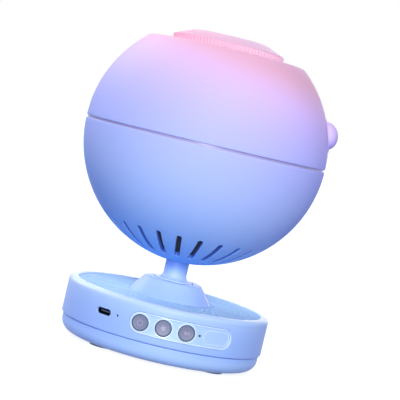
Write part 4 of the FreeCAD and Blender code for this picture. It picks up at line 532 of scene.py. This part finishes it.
ROOM_R, ROOM_REACH = 1.93, 2.84  # the same for the room that its metal shell needs
ROOM_FROM, ROOM_TO = -9, -1.2  # the room's depths in the wall
PIN_ASIDE, PIN_UP = 8.4, 19.3  # the pinhole, from the inlet and from the table
WALL_PROUD = 0.02  # a flare ends just above the wall
to_front = Matrix.Rotation(math.radians(90), 4, "X")
aside = Matrix.Translation((PANEL_MIDDLE, 0, 0))
inlet_seat = Matrix.Translation((BASE_R * INLET_AZIMUTH, INLET_UP, 0))


def wrapped(form):
    """Wraps a flat form round the base: X becomes the way round from the front, Z the height proud."""
    for vertex in form.verts:
        angle = vertex.co.x / BASE_R
        reach = BASE_R + vertex.co.z
        vertex.co = (reach * math.sin(angle), -reach * math.cos(angle), CONTROLS_Z + vertex.co.y)
    return outward(form)


def drilled(x, radius, steps=48):
    """Round tool through the base's front wall, at a distance aside."""
    form = turned([(0, DRILL_FROM), (radius, DRILL_FROM), (radius, DRILL_TO), (0, DRILL_TO)], steps)
    return moved(form, Matrix.Translation((x, 0, CONTROLS_Z)) @ to_front)


def control_holes(light_radius):
    """Tools for the three buttons and the status light."""
    return joined(*[drilled(x, BUTTON_HOLE_R) for name, x in BUTTONS], drilled(STATUS_X, light_radius, 24))


pocket = long_plug(PANEL_R + POCKET_GAP, PANEL_HALF, POCKET_FLOOR, WALL_PROUD, 0.2, PANEL_CUTS, PANEL_STEPS)
pocket = wrapped(moved(pocket, aside))
inlet = long_plug(MOUTH_R, MOUTH_REACH, -7, WALL_PROUD, 0.22, INLET_CUTS, INLET_STEPS)
inlet = wrapped(moved(inlet, inlet_seat))
room = turned([(0, ROOM_FROM), (ROOM_R, ROOM_FROM), (ROOM_R, ROOM_TO), (0, ROOM_TO)], INLET_STEPS)
room = wrapped(moved(stretched(room, ROOM_REACH, INLET_CUTS), inlet_seat))
pinhole = turned([(0, 46), (0.6, 46), (0.6, 52.3, 0.1), (1.0, 52.35), (1.0, 54), (0, 54)], 24)
pinhole = moved(pinhole, Matrix.Rotation(INLET_AZIMUTH, 4, "Z")
                @ Matrix.Translation((PIN_ASIDE, 0, PIN_UP)) @ to_front)
print("panel", round(2 * (PANEL_HALF + PANEL_R), 1), "mm long, inlet at",
      round(math.degrees(INLET_AZIMUTH), 1), "degrees")

# %% [markdown]
# Housing and pan share one lacquer whose colour follows the height: lighter low on the pan and palest
# at the rim, which is painted light and a painted highlight. The boss has a fade of its own, darker at
# its foot and lighter towards its top: painted shade at the foot and painted light on the top, which
# the ball shades.

# %% Housing
# Painted light: lighter low on the pan, and a painted highlight along the rim at 28.2 to 29.1 mm.
BASE_FADE_PAINTED_LIGHT = [(0.0, "#bde0ff"), (5.0, "#b7d9fe"), (8.5, "#a5c5fa"), (20.0, "#a9cafb"), (26.0, "#b3d2fb"),
             (28.2, "#c4defd"), (29.1, "#d6eaff"), (30.0, "#bcdbfd"), (31.0, "#abcffb"), (38.0, "#aed1fb")]
# The fade sinks towards the right, so that the painted rim highlight shows on the left and fades out on the
# right.
BASE_LEAN = -0.015
# Painted shade darkens the boss's foot, where it meets the grille, and painted light lifts its top, which the
# ball shades.
BOSS_FADE_PAINTED_LIGHT = [(28.4, "#a5c4fa"), (33.0, "#acc9fb"), (37.5, "#b9d4fb")]
BOSS_ZONE = 25.0  # everything inside this radius is boss
housing = carved(housing, pocket, control_holes(STATUS_HOLE_R), inlet, room, pinhole)
light_blue = faded("light_blue_lacquer_painted_light", BASE_FADE_PAINTED_LIGHT, BASE_LEAN, (0.4, 0.48), Specular_IOR_Level=0.25)
boss_blue = faded("boss_blue_painted_light", BOSS_FADE_PAINTED_LIGHT, 0.0, (0.45, 0.53), Specular_IOR_Level=0.3)
made = placed("housing", housing, light_blue, "base", "blue_abs", "base_housing")
refinish(made, boss_blue, lambda middle: math.hypot(middle.x, middle.y) < BOSS_ZONE)

# %% [markdown]
# ## The control panel
# A paler strip set flush into the wall, with a raised, polished border and a bead round each button.
# It starts as a turned disc with a border, is pulled long, and is then wrapped round the base. A fine
# ridge frames a blank field at its right end. Border, beads and ridge are paler still, partly their
# own colour and partly a painted highlight along them.

# %% Panel
LIGHT_HOLE_R = 0.6  # the panel's own hole for the status light, a little finer than the wall's
RIDGE_X, RIDGE_REACH, RIDGE_CUTS = 27.8, 3.9, 8
panel = turned([(0, -0.8), (PANEL_R, -0.8), (PANEL_R, 0.14, 0.3), (4.75, 0.14, 0.2), (4.55, -0.12, 0.15),
                (0, -0.12)], PANEL_STEPS)
panel = wrapped(moved(stretched(panel, PANEL_HALF, PANEL_CUTS), aside))
pale_blue = moulded("moulded_abs_pale_blue", "#b8d8f8", "#b2d2f5", Coat_Weight=0.15, Coat_Roughness=0.25)
bead_painted_highlight = moulded("pale_bead_painted_highlight", "#d9efff", "#d3ebfd", rough=(0.15, 0.22), Coat_Weight=0.4)
panel = carved(panel, control_holes(LIGHT_HOLE_R))
made = placed("panel", panel, pale_blue, "base", "panel_abs", "control_panel")
# The faces proud of the wall, the border, get the paler bead colour: partly a painted highlight.
refinish(made, bead_painted_highlight, lambda middle: math.hypot(middle.x, middle.y) > BASE_R + 0.02)
ridge = turned([(3.15, -0.4), (3.5, -0.4), (3.5, 0.02, 0.12), (3.15, 0.02, 0.12)], PANEL_STEPS)
ridge = moved(stretched(ridge, RIDGE_REACH, RIDGE_CUTS), Matrix.Translation((RIDGE_X, 0, 0)))
ridge = wrapped(ridge)
placed("panel_ridge", ridge, bead_painted_highlight, "base", "panel_abs")

# %% [markdown]
# A bead is a small turned ring whose back has to follow the round wall. Each of its points is pushed
# back or forth by the wall's own depth at that place, so that from the front the ring stays round.

# %% Beads round the buttons
def onto_wall(form, x):
    """Lays a turned form on the base's wall at a distance aside: its Z becomes the height proud."""
    for vertex in form.verts:
        across = vertex.co.x + x
        depth = math.sqrt(BASE_R ** 2 - across ** 2) + vertex.co.z
        vertex.co = (across, -depth, CONTROLS_Z + vertex.co.y)
    return outward(form)


for name, x in BUTTONS:
    bead = turned([(4.12, -0.6), (4.95, -0.6), (4.95, 0.05, 0.2), (4.8, 0.25, 0.2), (4.12, 0.25, 0.2)], 72)
    placed("bead_" + name, onto_wall(bead, x), bead_painted_highlight, "base", "panel_abs")

# %% [markdown]
# ## The buttons
# Three short caps that push straight in. Each has a dark sloping rim, a lighter dished face, and a
# raised mark of the usual kind: power, a star for the stars, and play for the sound. The marks are
# cut from discs and bars, a quarter of a millimetre thick.

# %% Marks
MARK_LOW, MARK_HIGH = 0.1, 0.36  # a mark's foot and face, proud of the wall


def bar(width, height, x=0.0, y=0.0):
    """Straight piece of a mark."""
    form = bmesh.new()
    bmesh.ops.create_cube(form, size=1, matrix=Matrix.Translation((x, y, (MARK_LOW + MARK_HIGH) / 2))
                          @ Matrix.Diagonal((width, height, MARK_HIGH - MARK_LOW, 1)))
    return form


def flat_mark(points, radius, turn=0.0, inner=1.0):
    """Mark cut from a disc with so many points; inner pulls every other one in."""
    form = bmesh.new()
    at = Matrix.Translation((0, 0, MARK_LOW)) @ Matrix.Rotation(turn, 4, "Z")
    made = bmesh.ops.create_circle(form, cap_ends=True, segments=points, radius=radius, matrix=at)
    for vertex in made["verts"][::2]:
        vertex.co.x *= inner
        vertex.co.y *= inner
    drawn = bmesh.ops.extrude_face_region(form, geom=form.faces[:])
    bmesh.ops.translate(form, vec=(0, 0, MARK_HIGH - MARK_LOW),
                        verts=[item for item in drawn["geom"] if isinstance(item, bmesh.types.BMVert)])
    return outward(form)


power = turned([(1.15, MARK_LOW), (1.5, MARK_LOW), (1.5, MARK_HIGH), (1.15, MARK_HIGH)], 48)
power = joined(carved(power, bar(1.0, 3, 0, 1.5)), bar(0.35, 1.3, 0, 1.25))
star = flat_mark(10, 1.75, math.radians(-18), 0.45)
play = joined(moved(flat_mark(3, 1.2, math.radians(-90)), Matrix.Translation((-0.45, 0, 0))),
              bar(0.35, 1.9, 0.75), bar(0.35, 1.9, 1.4))
MARKS = {"left": power, "middle": star, "right": play}
print("marks:", {name: len(form.faces) for name, form in MARKS.items()}, "faces")

# %% [markdown]
# The caps are turned like the beads and laid on the wall in the same way. Their plastic is textured
# in the mould, so it looks soft and matt. The rim outside the face gets a second, darker material,
# partly the rim's own colour and partly painted shade of the gap round the cap, and each cap carries
# its mark.

# %% Buttons
FACE_R = 3.3  # the lighter face; the sloping rim lies outside it
button_grey = moulded("textured_abs_grey_mauve", "#868a9c", "#7c8194", size=0.35, depth=0.03,
                      rough=(0.4, 0.5))
rim_grey_painted_shade = moulded("slate_rim_painted_shade", "#6a7890", "#606f88", size=0.35, depth=0.03, rough=(0.45, 0.55))
mark_grey = moulded("printed_mark_lilac", "#aba8bd", "#a3a1b6", size=0.35, rough=(0.35, 0.4))
for name, x in BUTTONS:
    cap = turned([(0, -4.4), (5.0, -4.4, 0.2), (5.0, -3.4, 0.2), (4.0, -3.4), (4.0, 0.0, 0.3),
                  (3.5, 0.4, 0.25), (3.2, 0.3), (1.6, 0.18), (0, 0.15)], 72)
    body = "button_" + name
    made = placed("push_" + name, onto_wall(cap, x), button_grey, body, "button_plastic", body)
    # The rim's darker material is partly painted shade of the gap round the cap.
    refinish(made, rim_grey_painted_shade, lambda middle: math.hypot(middle.x - x, middle.z - CONTROLS_Z) > FACE_R)
    placed("mark_" + name, onto_wall(MARKS[name], x), mark_grey, body, "button_plastic", smooth=20)

# %% [markdown]
# ## The pan and its feet
# The pan closes the base from below. Its side stands a millimetre inside the housing's and curls
# under in a 6 mm round. Four rubber feet with a moulded ring sit in recesses in its floor. Pan and
# feet are turned, and each recess is cut by a turned plug.

# %% Pan and feet
FOOT_R = 7.0
RECESS_R = 7.12
RECESS_TOP = 1.8
FOOT_OUT = 38  # from the base's axis
FOOT_AT = [Matrix.Rotation(math.radians(azimuth), 4, "Z") @ Matrix.Translation((0, -FOOT_OUT, 0))
           for azimuth in (45, 135, 225, 315)]
pan = turned([(0, 1.0), (51.4, 1.0, 6.0), (51.4, 9.8, 0.6), (50.08, 9.8), (50.08, 12.4, 0.2), (48.48, 12.4),
              (48.48, 7.4), (49.2, 7.4), (49.2, 3.2, 3.8), (0, 3.2)], 288)
recess_outline = [(0, 0), (RECESS_R, 0), (RECESS_R, RECESS_TOP), (0, RECESS_TOP)]
recesses = joined(*[moved(turned(recess_outline, 64), at) for at in FOOT_AT])
placed("pan", carved(pan, recesses), light_blue, "base", "blue_dark_abs", "bottom_pan")
foot_rubber = moulded("moulded_rubber_grey", "#6a7488", "#606a7d", size=0.4, depth=0.05, rough=(0.6, 0.75))
for number, at in enumerate(FOOT_AT, 1):
    foot = turned([(0, 0.35), (4.4, 0.35, 0.1), (4.7, 0, 0.1), (FOOT_R, 0, 0.33), (FOOT_R, RECESS_TOP),
                   (0, RECESS_TOP)], 64)
    placed("rubber_foot_%d" % number, moved(foot, at), foot_rubber, "base", "foot_rubber", "foot_%d" % number)

# %% [markdown]
# ## The neck
# The neck turns in the boss and carries the ball. Its foot flares out in one soft curve, and its top
# is a level knuckle that the tilt pins go into. The stem is turned, the knuckle joined to it by a
# boolean union, and the cable's bore cut last. Its colour is palest at the foot and deepens up into
# the ball: painted light on the foot and painted shade under the ball.

# %% Neck
KNUCKLE_R, KNUCKLE_HALF = 8.0, 8.5
CABLE_BORE_R = 2.6
# Painted light and shade: pale at the foot, deep blue at the top, where the ball shades the neck.
NECK_FADE_PAINTED_SHADE = [(36.5, "#d6ebff"), (39.0, "#c6e0fe"), (42.0, "#b8d6fc"), (45.0, "#84aff5"), (49.0, "#4d84de")]
stem = turned([(2.0, 17.9), (6.6, 17.9, 0.2), (7.0, 22.0), (7.0, 36.55), (9.8, 36.55, 0.2), (9.8, 37.95, 0.5),
               (NECK_R, 37.95, 2.9), (NECK_R, PIVOT_Z), (2.0, PIVOT_Z)], 96)
knuckle = turned([(0, -KNUCKLE_HALF), (KNUCKLE_R, -KNUCKLE_HALF, 0.4), (KNUCKLE_R, KNUCKLE_HALF, 0.4),
                  (0, KNUCKLE_HALF)], 96)
knuckle = moved(knuckle, Matrix.Translation((0, 0, PIVOT_Z)) @ Matrix.Rotation(math.pi / 2, 4, "Y"))
cable_bore = turned([(0, 10), (CABLE_BORE_R, 10), (CABLE_BORE_R, 75), (0, 75)], 48)
stem = carved(carved(stem, knuckle, operation="UNION"), cable_bore)
neck_lacquer_painted_shade = faded("nylon_blue_painted_shade", NECK_FADE_PAINTED_SHADE, 0.0, (0.42, 0.5), Specular_IOR_Level=0.4)
placed("neck", stem, neck_lacquer_painted_shade, "neck", "neck_plastic", "neck_stem")

# %% [markdown]
# ## Materials for the solids that stay as they are
# The inner parts and the grille keep their CAD shapes, which are already right. Each gets the finish
# of the real thing: moulded plastic, stamped steel, turned brass, solder mask, woven cloth, clear
# glass. Metal is drawn or turned, which leaves fine streaks along one way, so its noise pattern is
# squeezed along that way.

# %% Helpers that dress CAD solids
def dress(material, *names):
    """Gives CAD solids a material."""
    for name in names:
        finishes = nodes[name].data.materials
        finishes.clear()
        finishes.append(material)
    print(material.name, "on", ", ".join(names))


def metal(name, color, deep, streak, rough=(0.22, 0.35)):
    """Worked metal: fine streaks along one way, drifting between two near colours."""
    material, tree, shader, mm = start_material(name, color, Metallic=1.0)
    drawn = add(tree, "Mapping", {"Vector": mm, "Scale": streak})
    lines = add(tree, "TexNoise", {"Vector": drawn.outputs[0], "Scale": 1.0, "Detail": 3.0})
    ramp = add(tree, "ValToRGB", {"Fac": lines.outputs["Fac"]}, [(NOISE_LOW, deep), (NOISE_HIGH, color)])
    dull = add(tree, "MapRange", {"Value": lines.outputs["Fac"], "To Min": rough[0], "To Max": rough[1]})
    bump = add(tree, "Bump", {"Height": lines.outputs["Fac"], "Strength": 0.3, "Distance": 0.01 * MM})
    wire(tree, shader, {"Base Color": ramp.outputs["Color"], "Roughness": dull.outputs["Result"],
                        "Normal": bump.outputs["Normal"]})
    return material


# %% [markdown]
# The grille is pale matt ABS with no gloss of its own, because its many hole edges scatter the light.
# The plastics inside are bare: black where stray light has to be kept down, and natural acetal, a
# little translucent, where parts slide on each other.

# %% Plastics, rubber and paper
grille_abs = moulded("perforated_abs_pale_blue", "#c9eaff", "#c0e2fe", rough=(0.55, 0.65),
                     Specular_IOR_Level=0.0)
black_abs = moulded("moulded_abs_black", "#26272b", "#1d1e22", rough=(0.4, 0.55))
acetal = moulded("natural_acetal", "#ebe9e2", "#e2e0d8", rough=(0.3, 0.4), Subsurface_Weight=0.1,
                 Subsurface_Scale=0.001)
cable_pvc = moulded("soft_pvc_sheath", "#2a2b2f", "#232428", rough=(0.45, 0.6))
washer_rubber = moulded("die_cut_rubber", "#232326", "#1c1c1f", depth=0.05, rough=(0.7, 0.85))
cone_paper = moulded("pressed_paper_cone", "#333336", "#28282b", size=0.8, depth=0.1, rough=(0.8, 0.95))
tongue_plastic = moulded("inlet_tongue_plastic", "#454f68", "#3e4860", rough=(0.4, 0.5))
smoked = moulded("smoked_acrylic", "#1b2a3a", "#152231", rough=(0.1, 0.2), Coat_Weight=0.3)
dress(grille_abs, "grille_plate")
dress(black_abs, "main_board_parts", "tact_switches", "driver_board_parts", "condenser_holder",
      "film_carrier", "lens_tower", "lens_barrel", "lens_retainer", "side_switch")
dress(acetal, "stop_washer", "chassis", "drive_pinion")
dress(cable_pvc, "neck_cable")
dress(washer_rubber, "friction_washers")
dress(cone_paper, "speaker_cone")
dress(tongue_plastic, "usb_tongue")
dress(smoked, "light_pipes")

# %% [markdown]
# Five metals: zinc-plated steel for screws, pins and stampings, blackened steel for the inlet's
# shell, turned brass for the neck's nut, milled aluminium where heat has to spread, and the foil of
# the battery's pouch, which has no streaks but broad soft dents.

# %% Metals
dress(metal("plated_steel", "#b9bbc0", "#a9abb1", (0.4, 0.4, 6)), "pan_screws", "ballast_plate",
      "speaker_frame", "yoke_screws", "tilt_pins", "chassis_screws", "film_clip", "gear_motor",
      "tower_screws", "ring_circlip")
dress(metal("blackened_steel", "#3a3f4b", "#2c313c", (0.5, 0.5, 5), (0.35, 0.5)), "usb_shell")
dress(metal("turned_brass", "#c9a35a", "#b9924a", (0.4, 0.4, 8)), "neck_nut")
dress(metal("milled_aluminium", "#cfd2d6", "#c0c3c8", (3, 0.4, 0.4)), "tilt_yoke", "heat_sink", "led_board")
dress(metal("pouch_foil", "#b6bac2", "#a3a8b2", (0.3, 0.3, 0.3), (0.3, 0.5)), "battery_pack")

# %% [markdown]
# A circuit board is glass cloth in epoxy under a green solder mask. Copper tracks show through the
# mask as lighter green lines, here a brick pattern with the pitch of real tracks, about 1.3 mm.

# %% Circuit board
board, tree, shader, mm = start_material("solder_mask_green", "#1f6b45", Roughness=0.35)
tracks = add(tree, "TexBrick", {
    "Vector": mm, "Color1": paint("#1c6340"), "Color2": paint("#237a50"), "Mortar": paint("#174f34"),
    "Scale": 1.0, "Mortar Size": 0.06, "Brick Width": 6.5, "Row Height": 1.3,
})
wire(tree, shader, {"Base Color": tracks.outputs["Color"]})
dress(board, "main_board", "charge_board", "switch_board", "driver_board")

# %% [markdown]
# The dust screen behind the slots is woven cloth, drawn as two crossed waves that lift the surface
# and darken the gaps. A wave pattern repeats every 0.314 of its own units, so a scale of 1.25 sets the
# threads a quarter of a millimetre apart.

# %% Dust cloth
THREAD_SCALE = 1.25
cloth, tree, shader, mm = start_material("woven_dust_cloth", "#0d0f14", Roughness=0.9, Sheen_Weight=0.1)
waves = [add(tree, "TexWave", {"Vector": mm, "Scale": THREAD_SCALE}, bands_direction=way)
         for way in ("X", "Y")]
weave = add(tree, "Math", {0: waves[0].outputs["Fac"], 1: waves[1].outputs["Fac"]}, operation="MULTIPLY")
ramp = add(tree, "ValToRGB", {"Fac": weave.outputs[0]}, [(0.0, "#07080c"), (1.0, "#15171f")])
bump = add(tree, "Bump", {"Height": weave.outputs[0], "Strength": 0.6, "Distance": 0.1 * MM})
wire(tree, shader, {"Base Color": ramp.outputs["Color"], "Normal": bump.outputs["Normal"]})
dress(cloth, "dust_screen")

# %% [markdown]
# Polished glass is clear, with a faint coating that the eye sees as a blue-green gleam. The film disc
# is a dark print between clear sheets, with pin-sharp stars, here a fine spotted pattern. The lamp's
# emitter is yellow phosphor under silicone.

# %% Glass, film and emitter
glass, tree, shader, mm = start_material("coated_lens_glass", "#f4fbff", IOR=1.52, Transmission_Weight=1.0,
                                         Coat_Weight=0.2, Coat_Tint=paint("#bfe8ff"))
smear = add(tree, "TexNoise", {"Vector": mm, "Scale": 0.15, "Detail": 2.0})
dull = add(tree, "MapRange", {"Value": smear.outputs["Fac"], "To Min": 0.01, "To Max": 0.06})
wire(tree, shader, {"Roughness": dull.outputs["Result"]})
dress(glass, "condenser_lens", "front_lens", "rear_lens")
film, tree, shader, mm = start_material("printed_star_film", "#141a33", Roughness=0.15, Coat_Weight=0.5)
spots = add(tree, "TexVoronoi", {"Vector": mm, "Scale": 0.9, "Randomness": 1.0})
ramp = add(tree, "ValToRGB", {"Fac": spots.outputs["Distance"]}, [(0.05, "#dfe6ff"), (0.12, "#141a33")])
wire(tree, shader, {"Base Color": ramp.outputs["Color"]})
dress(film, "film_disc")
dress(moulded("phosphor_under_silicone", "#f1dd6a", "#e8d25c", rough=(0.2, 0.3)), "led_emitter")

# %% [markdown]
# ## Floor, light and camera
# The floor is pale studio paper. The eye, a reflection and a view through glass all get it lifted by
# a light of its own, through Light Path, so that it reads as white and keeps the soft shadow. The
# light that bounces off it onto the object comes from a dim blue instead, so that the shaded sides of
# a pale blue object stay blue and don't wash out.

# %% Floor
FLOOR_HALF = 30.0  # metres
FLOOR_LIFT = 0.85  # how much light the floor adds of its own where it is looked at
PAPER, PAPER_BOUNCE = "#98a3c6", "#4257a0"


def looked_at(tree):
    """1 for rays from the eye, off a gloss or through glass, and 0 for the light that bounces."""
    rays = add(tree, "LightPath")
    either = add(tree, "Math", {0: rays.outputs["Is Camera Ray"], 1: rays.outputs["Is Glossy Ray"]},
                 operation="MAXIMUM")
    any_of_three = add(tree, "Math", {0: either.outputs[0], 1: rays.outputs["Is Transmission Ray"]},
                       operation="MAXIMUM")
    return any_of_three.outputs[0]


form = bmesh.new()
bmesh.ops.create_grid(form, x_segments=1, y_segments=1, size=FLOOR_HALF)
floor = bpy.data.objects.new("floor", to_mesh(form, "floor"))
bpy.context.scene.collection.objects.link(floor)
paper, tree, shader, mm = start_material("white_studio_paper", PAPER, Roughness=0.9, Specular_IOR_Level=0.1)
seen = looked_at(tree)
lift = add(tree, "Math", {0: seen, 1: FLOOR_LIFT}, operation="MULTIPLY")
shade = add(tree, "Mix", {0: seen, 6: paint(PAPER_BOUNCE), 7: paint(PAPER)}, data_type="RGBA")
wire(tree, shader, {"Base Color": shade.outputs[2], "Emission Color": paint("#ffffff"),
                    "Emission Strength": lift.outputs[0]})
floor.data.materials.append(paper)
print("floor laid,", 2 * FLOOR_HALF, "m square")

# %% [markdown]
# The world does the same: white at full strength where it is looked at, and a dimmer, bluish sky
# where it only lights the object.

# %% World
WORLD_LIGHT = 0.27
SKY_SEEN, SKY_LIGHT = "#ffffff", "#8c9ffa"
world = bpy.data.worlds.new("studio")
bpy.context.scene.world = world
world.use_nodes = True
tree = world.node_tree
tree.nodes.clear()
seen = looked_at(tree)
level = add(tree, "MapRange", {"Value": seen, "To Min": WORLD_LIGHT})
shade = add(tree, "Mix", {0: seen, 6: paint(SKY_LIGHT), 7: paint(SKY_SEEN)}, data_type="RGBA")
sky = add(tree, "Background", {"Strength": level.outputs["Result"], "Color": shade.outputs[2]})
add(tree, "OutputWorld", {"Surface": sky.outputs[0]})
print("world lights at", WORLD_LIGHT, "of white")

# %% [markdown]
# Four far lamps stand for softboxes, because a sun's light doesn't weaken with distance and its
# angle sets how soft the shade is. The key comes from the front and above, and the fill from straight
# ahead, which opens the underside of the ball. One lamp behind on the left draws the bright edge of
# the ball, and a weak one straight behind keeps the sides and the back from going dark.

# %% Lamps
def lamp(name, where, strength, spread):
    """Far, soft lamp that shines from a place towards the object."""
    made = bpy.data.objects.new(name, bpy.data.lights.new(name, "SUN"))
    made.data.energy = strength
    made.data.angle = math.radians(spread)
    made.matrix_world = Vector(where).to_track_quat("Z", "Y").to_matrix().to_4x4()
    bpy.context.scene.collection.objects.link(made)
    print(name, "lamp, strength", strength)


lamp("key", (0.05, -0.86, 0.48), 1.7, 26)
lamp("fill", (0.02, -1.0, 0.1), 1.45, 12)
lamp("behind_left", (-0.62, 0.58, 0.57), 1.9, 40)
lamp("behind", (0.15, 0.95, 0.25), 1.0, 40)

# %% [markdown]
# The camera stands 76 cm in front, a little above the ball's middle, with a long lens. It is rolled by
# 13 degrees, so that the object leans in the frame. Its three axes are worked out from yaw, pitch and
# roll, and a matrix of them turns it.

# %% Camera
CAMERA_FAR = 0.760  # metres
CAMERA_ABOVE = 0.0094  # metres above the ball's middle
CAMERA_HIGH = BALL_Z * MM + CAMERA_ABOVE
CAMERA_ASIDE = math.radians(-0.65)
AIM_ASIDE = 0.005  # radians, like the three below
YAW = AIM_ASIDE - CAMERA_ASIDE
PITCH = -0.0505
ROLL = 0.2327
LENS, SENSOR = 133.5, 36
camera = bpy.data.objects.new("camera", bpy.data.cameras.new("camera"))
bpy.context.scene.collection.objects.link(camera)
forward = Vector((math.sin(YAW) * math.cos(PITCH), math.cos(YAW) * math.cos(PITCH), math.sin(PITCH)))
level = Vector((math.cos(YAW), -math.sin(YAW), 0))
upright = level.cross(forward)
across = level * math.cos(ROLL) + upright * math.sin(ROLL)
above = upright * math.cos(ROLL) - level * math.sin(ROLL)
turn = Matrix((across, above, -forward)).transposed().to_4x4()
seat = Vector((math.sin(CAMERA_ASIDE) * CAMERA_FAR, -math.cos(CAMERA_ASIDE) * CAMERA_FAR, CAMERA_HIGH))
camera.matrix_world = Matrix.Translation(seat) @ turn
camera.data.lens = LENS
camera.data.sensor_width = SENSOR
bpy.context.scene.camera = camera
bpy.context.scene.view_settings.view_transform = "Standard"
print("camera at", [round(value, 3) for value in seat], "with a", LENS, "mm lens")
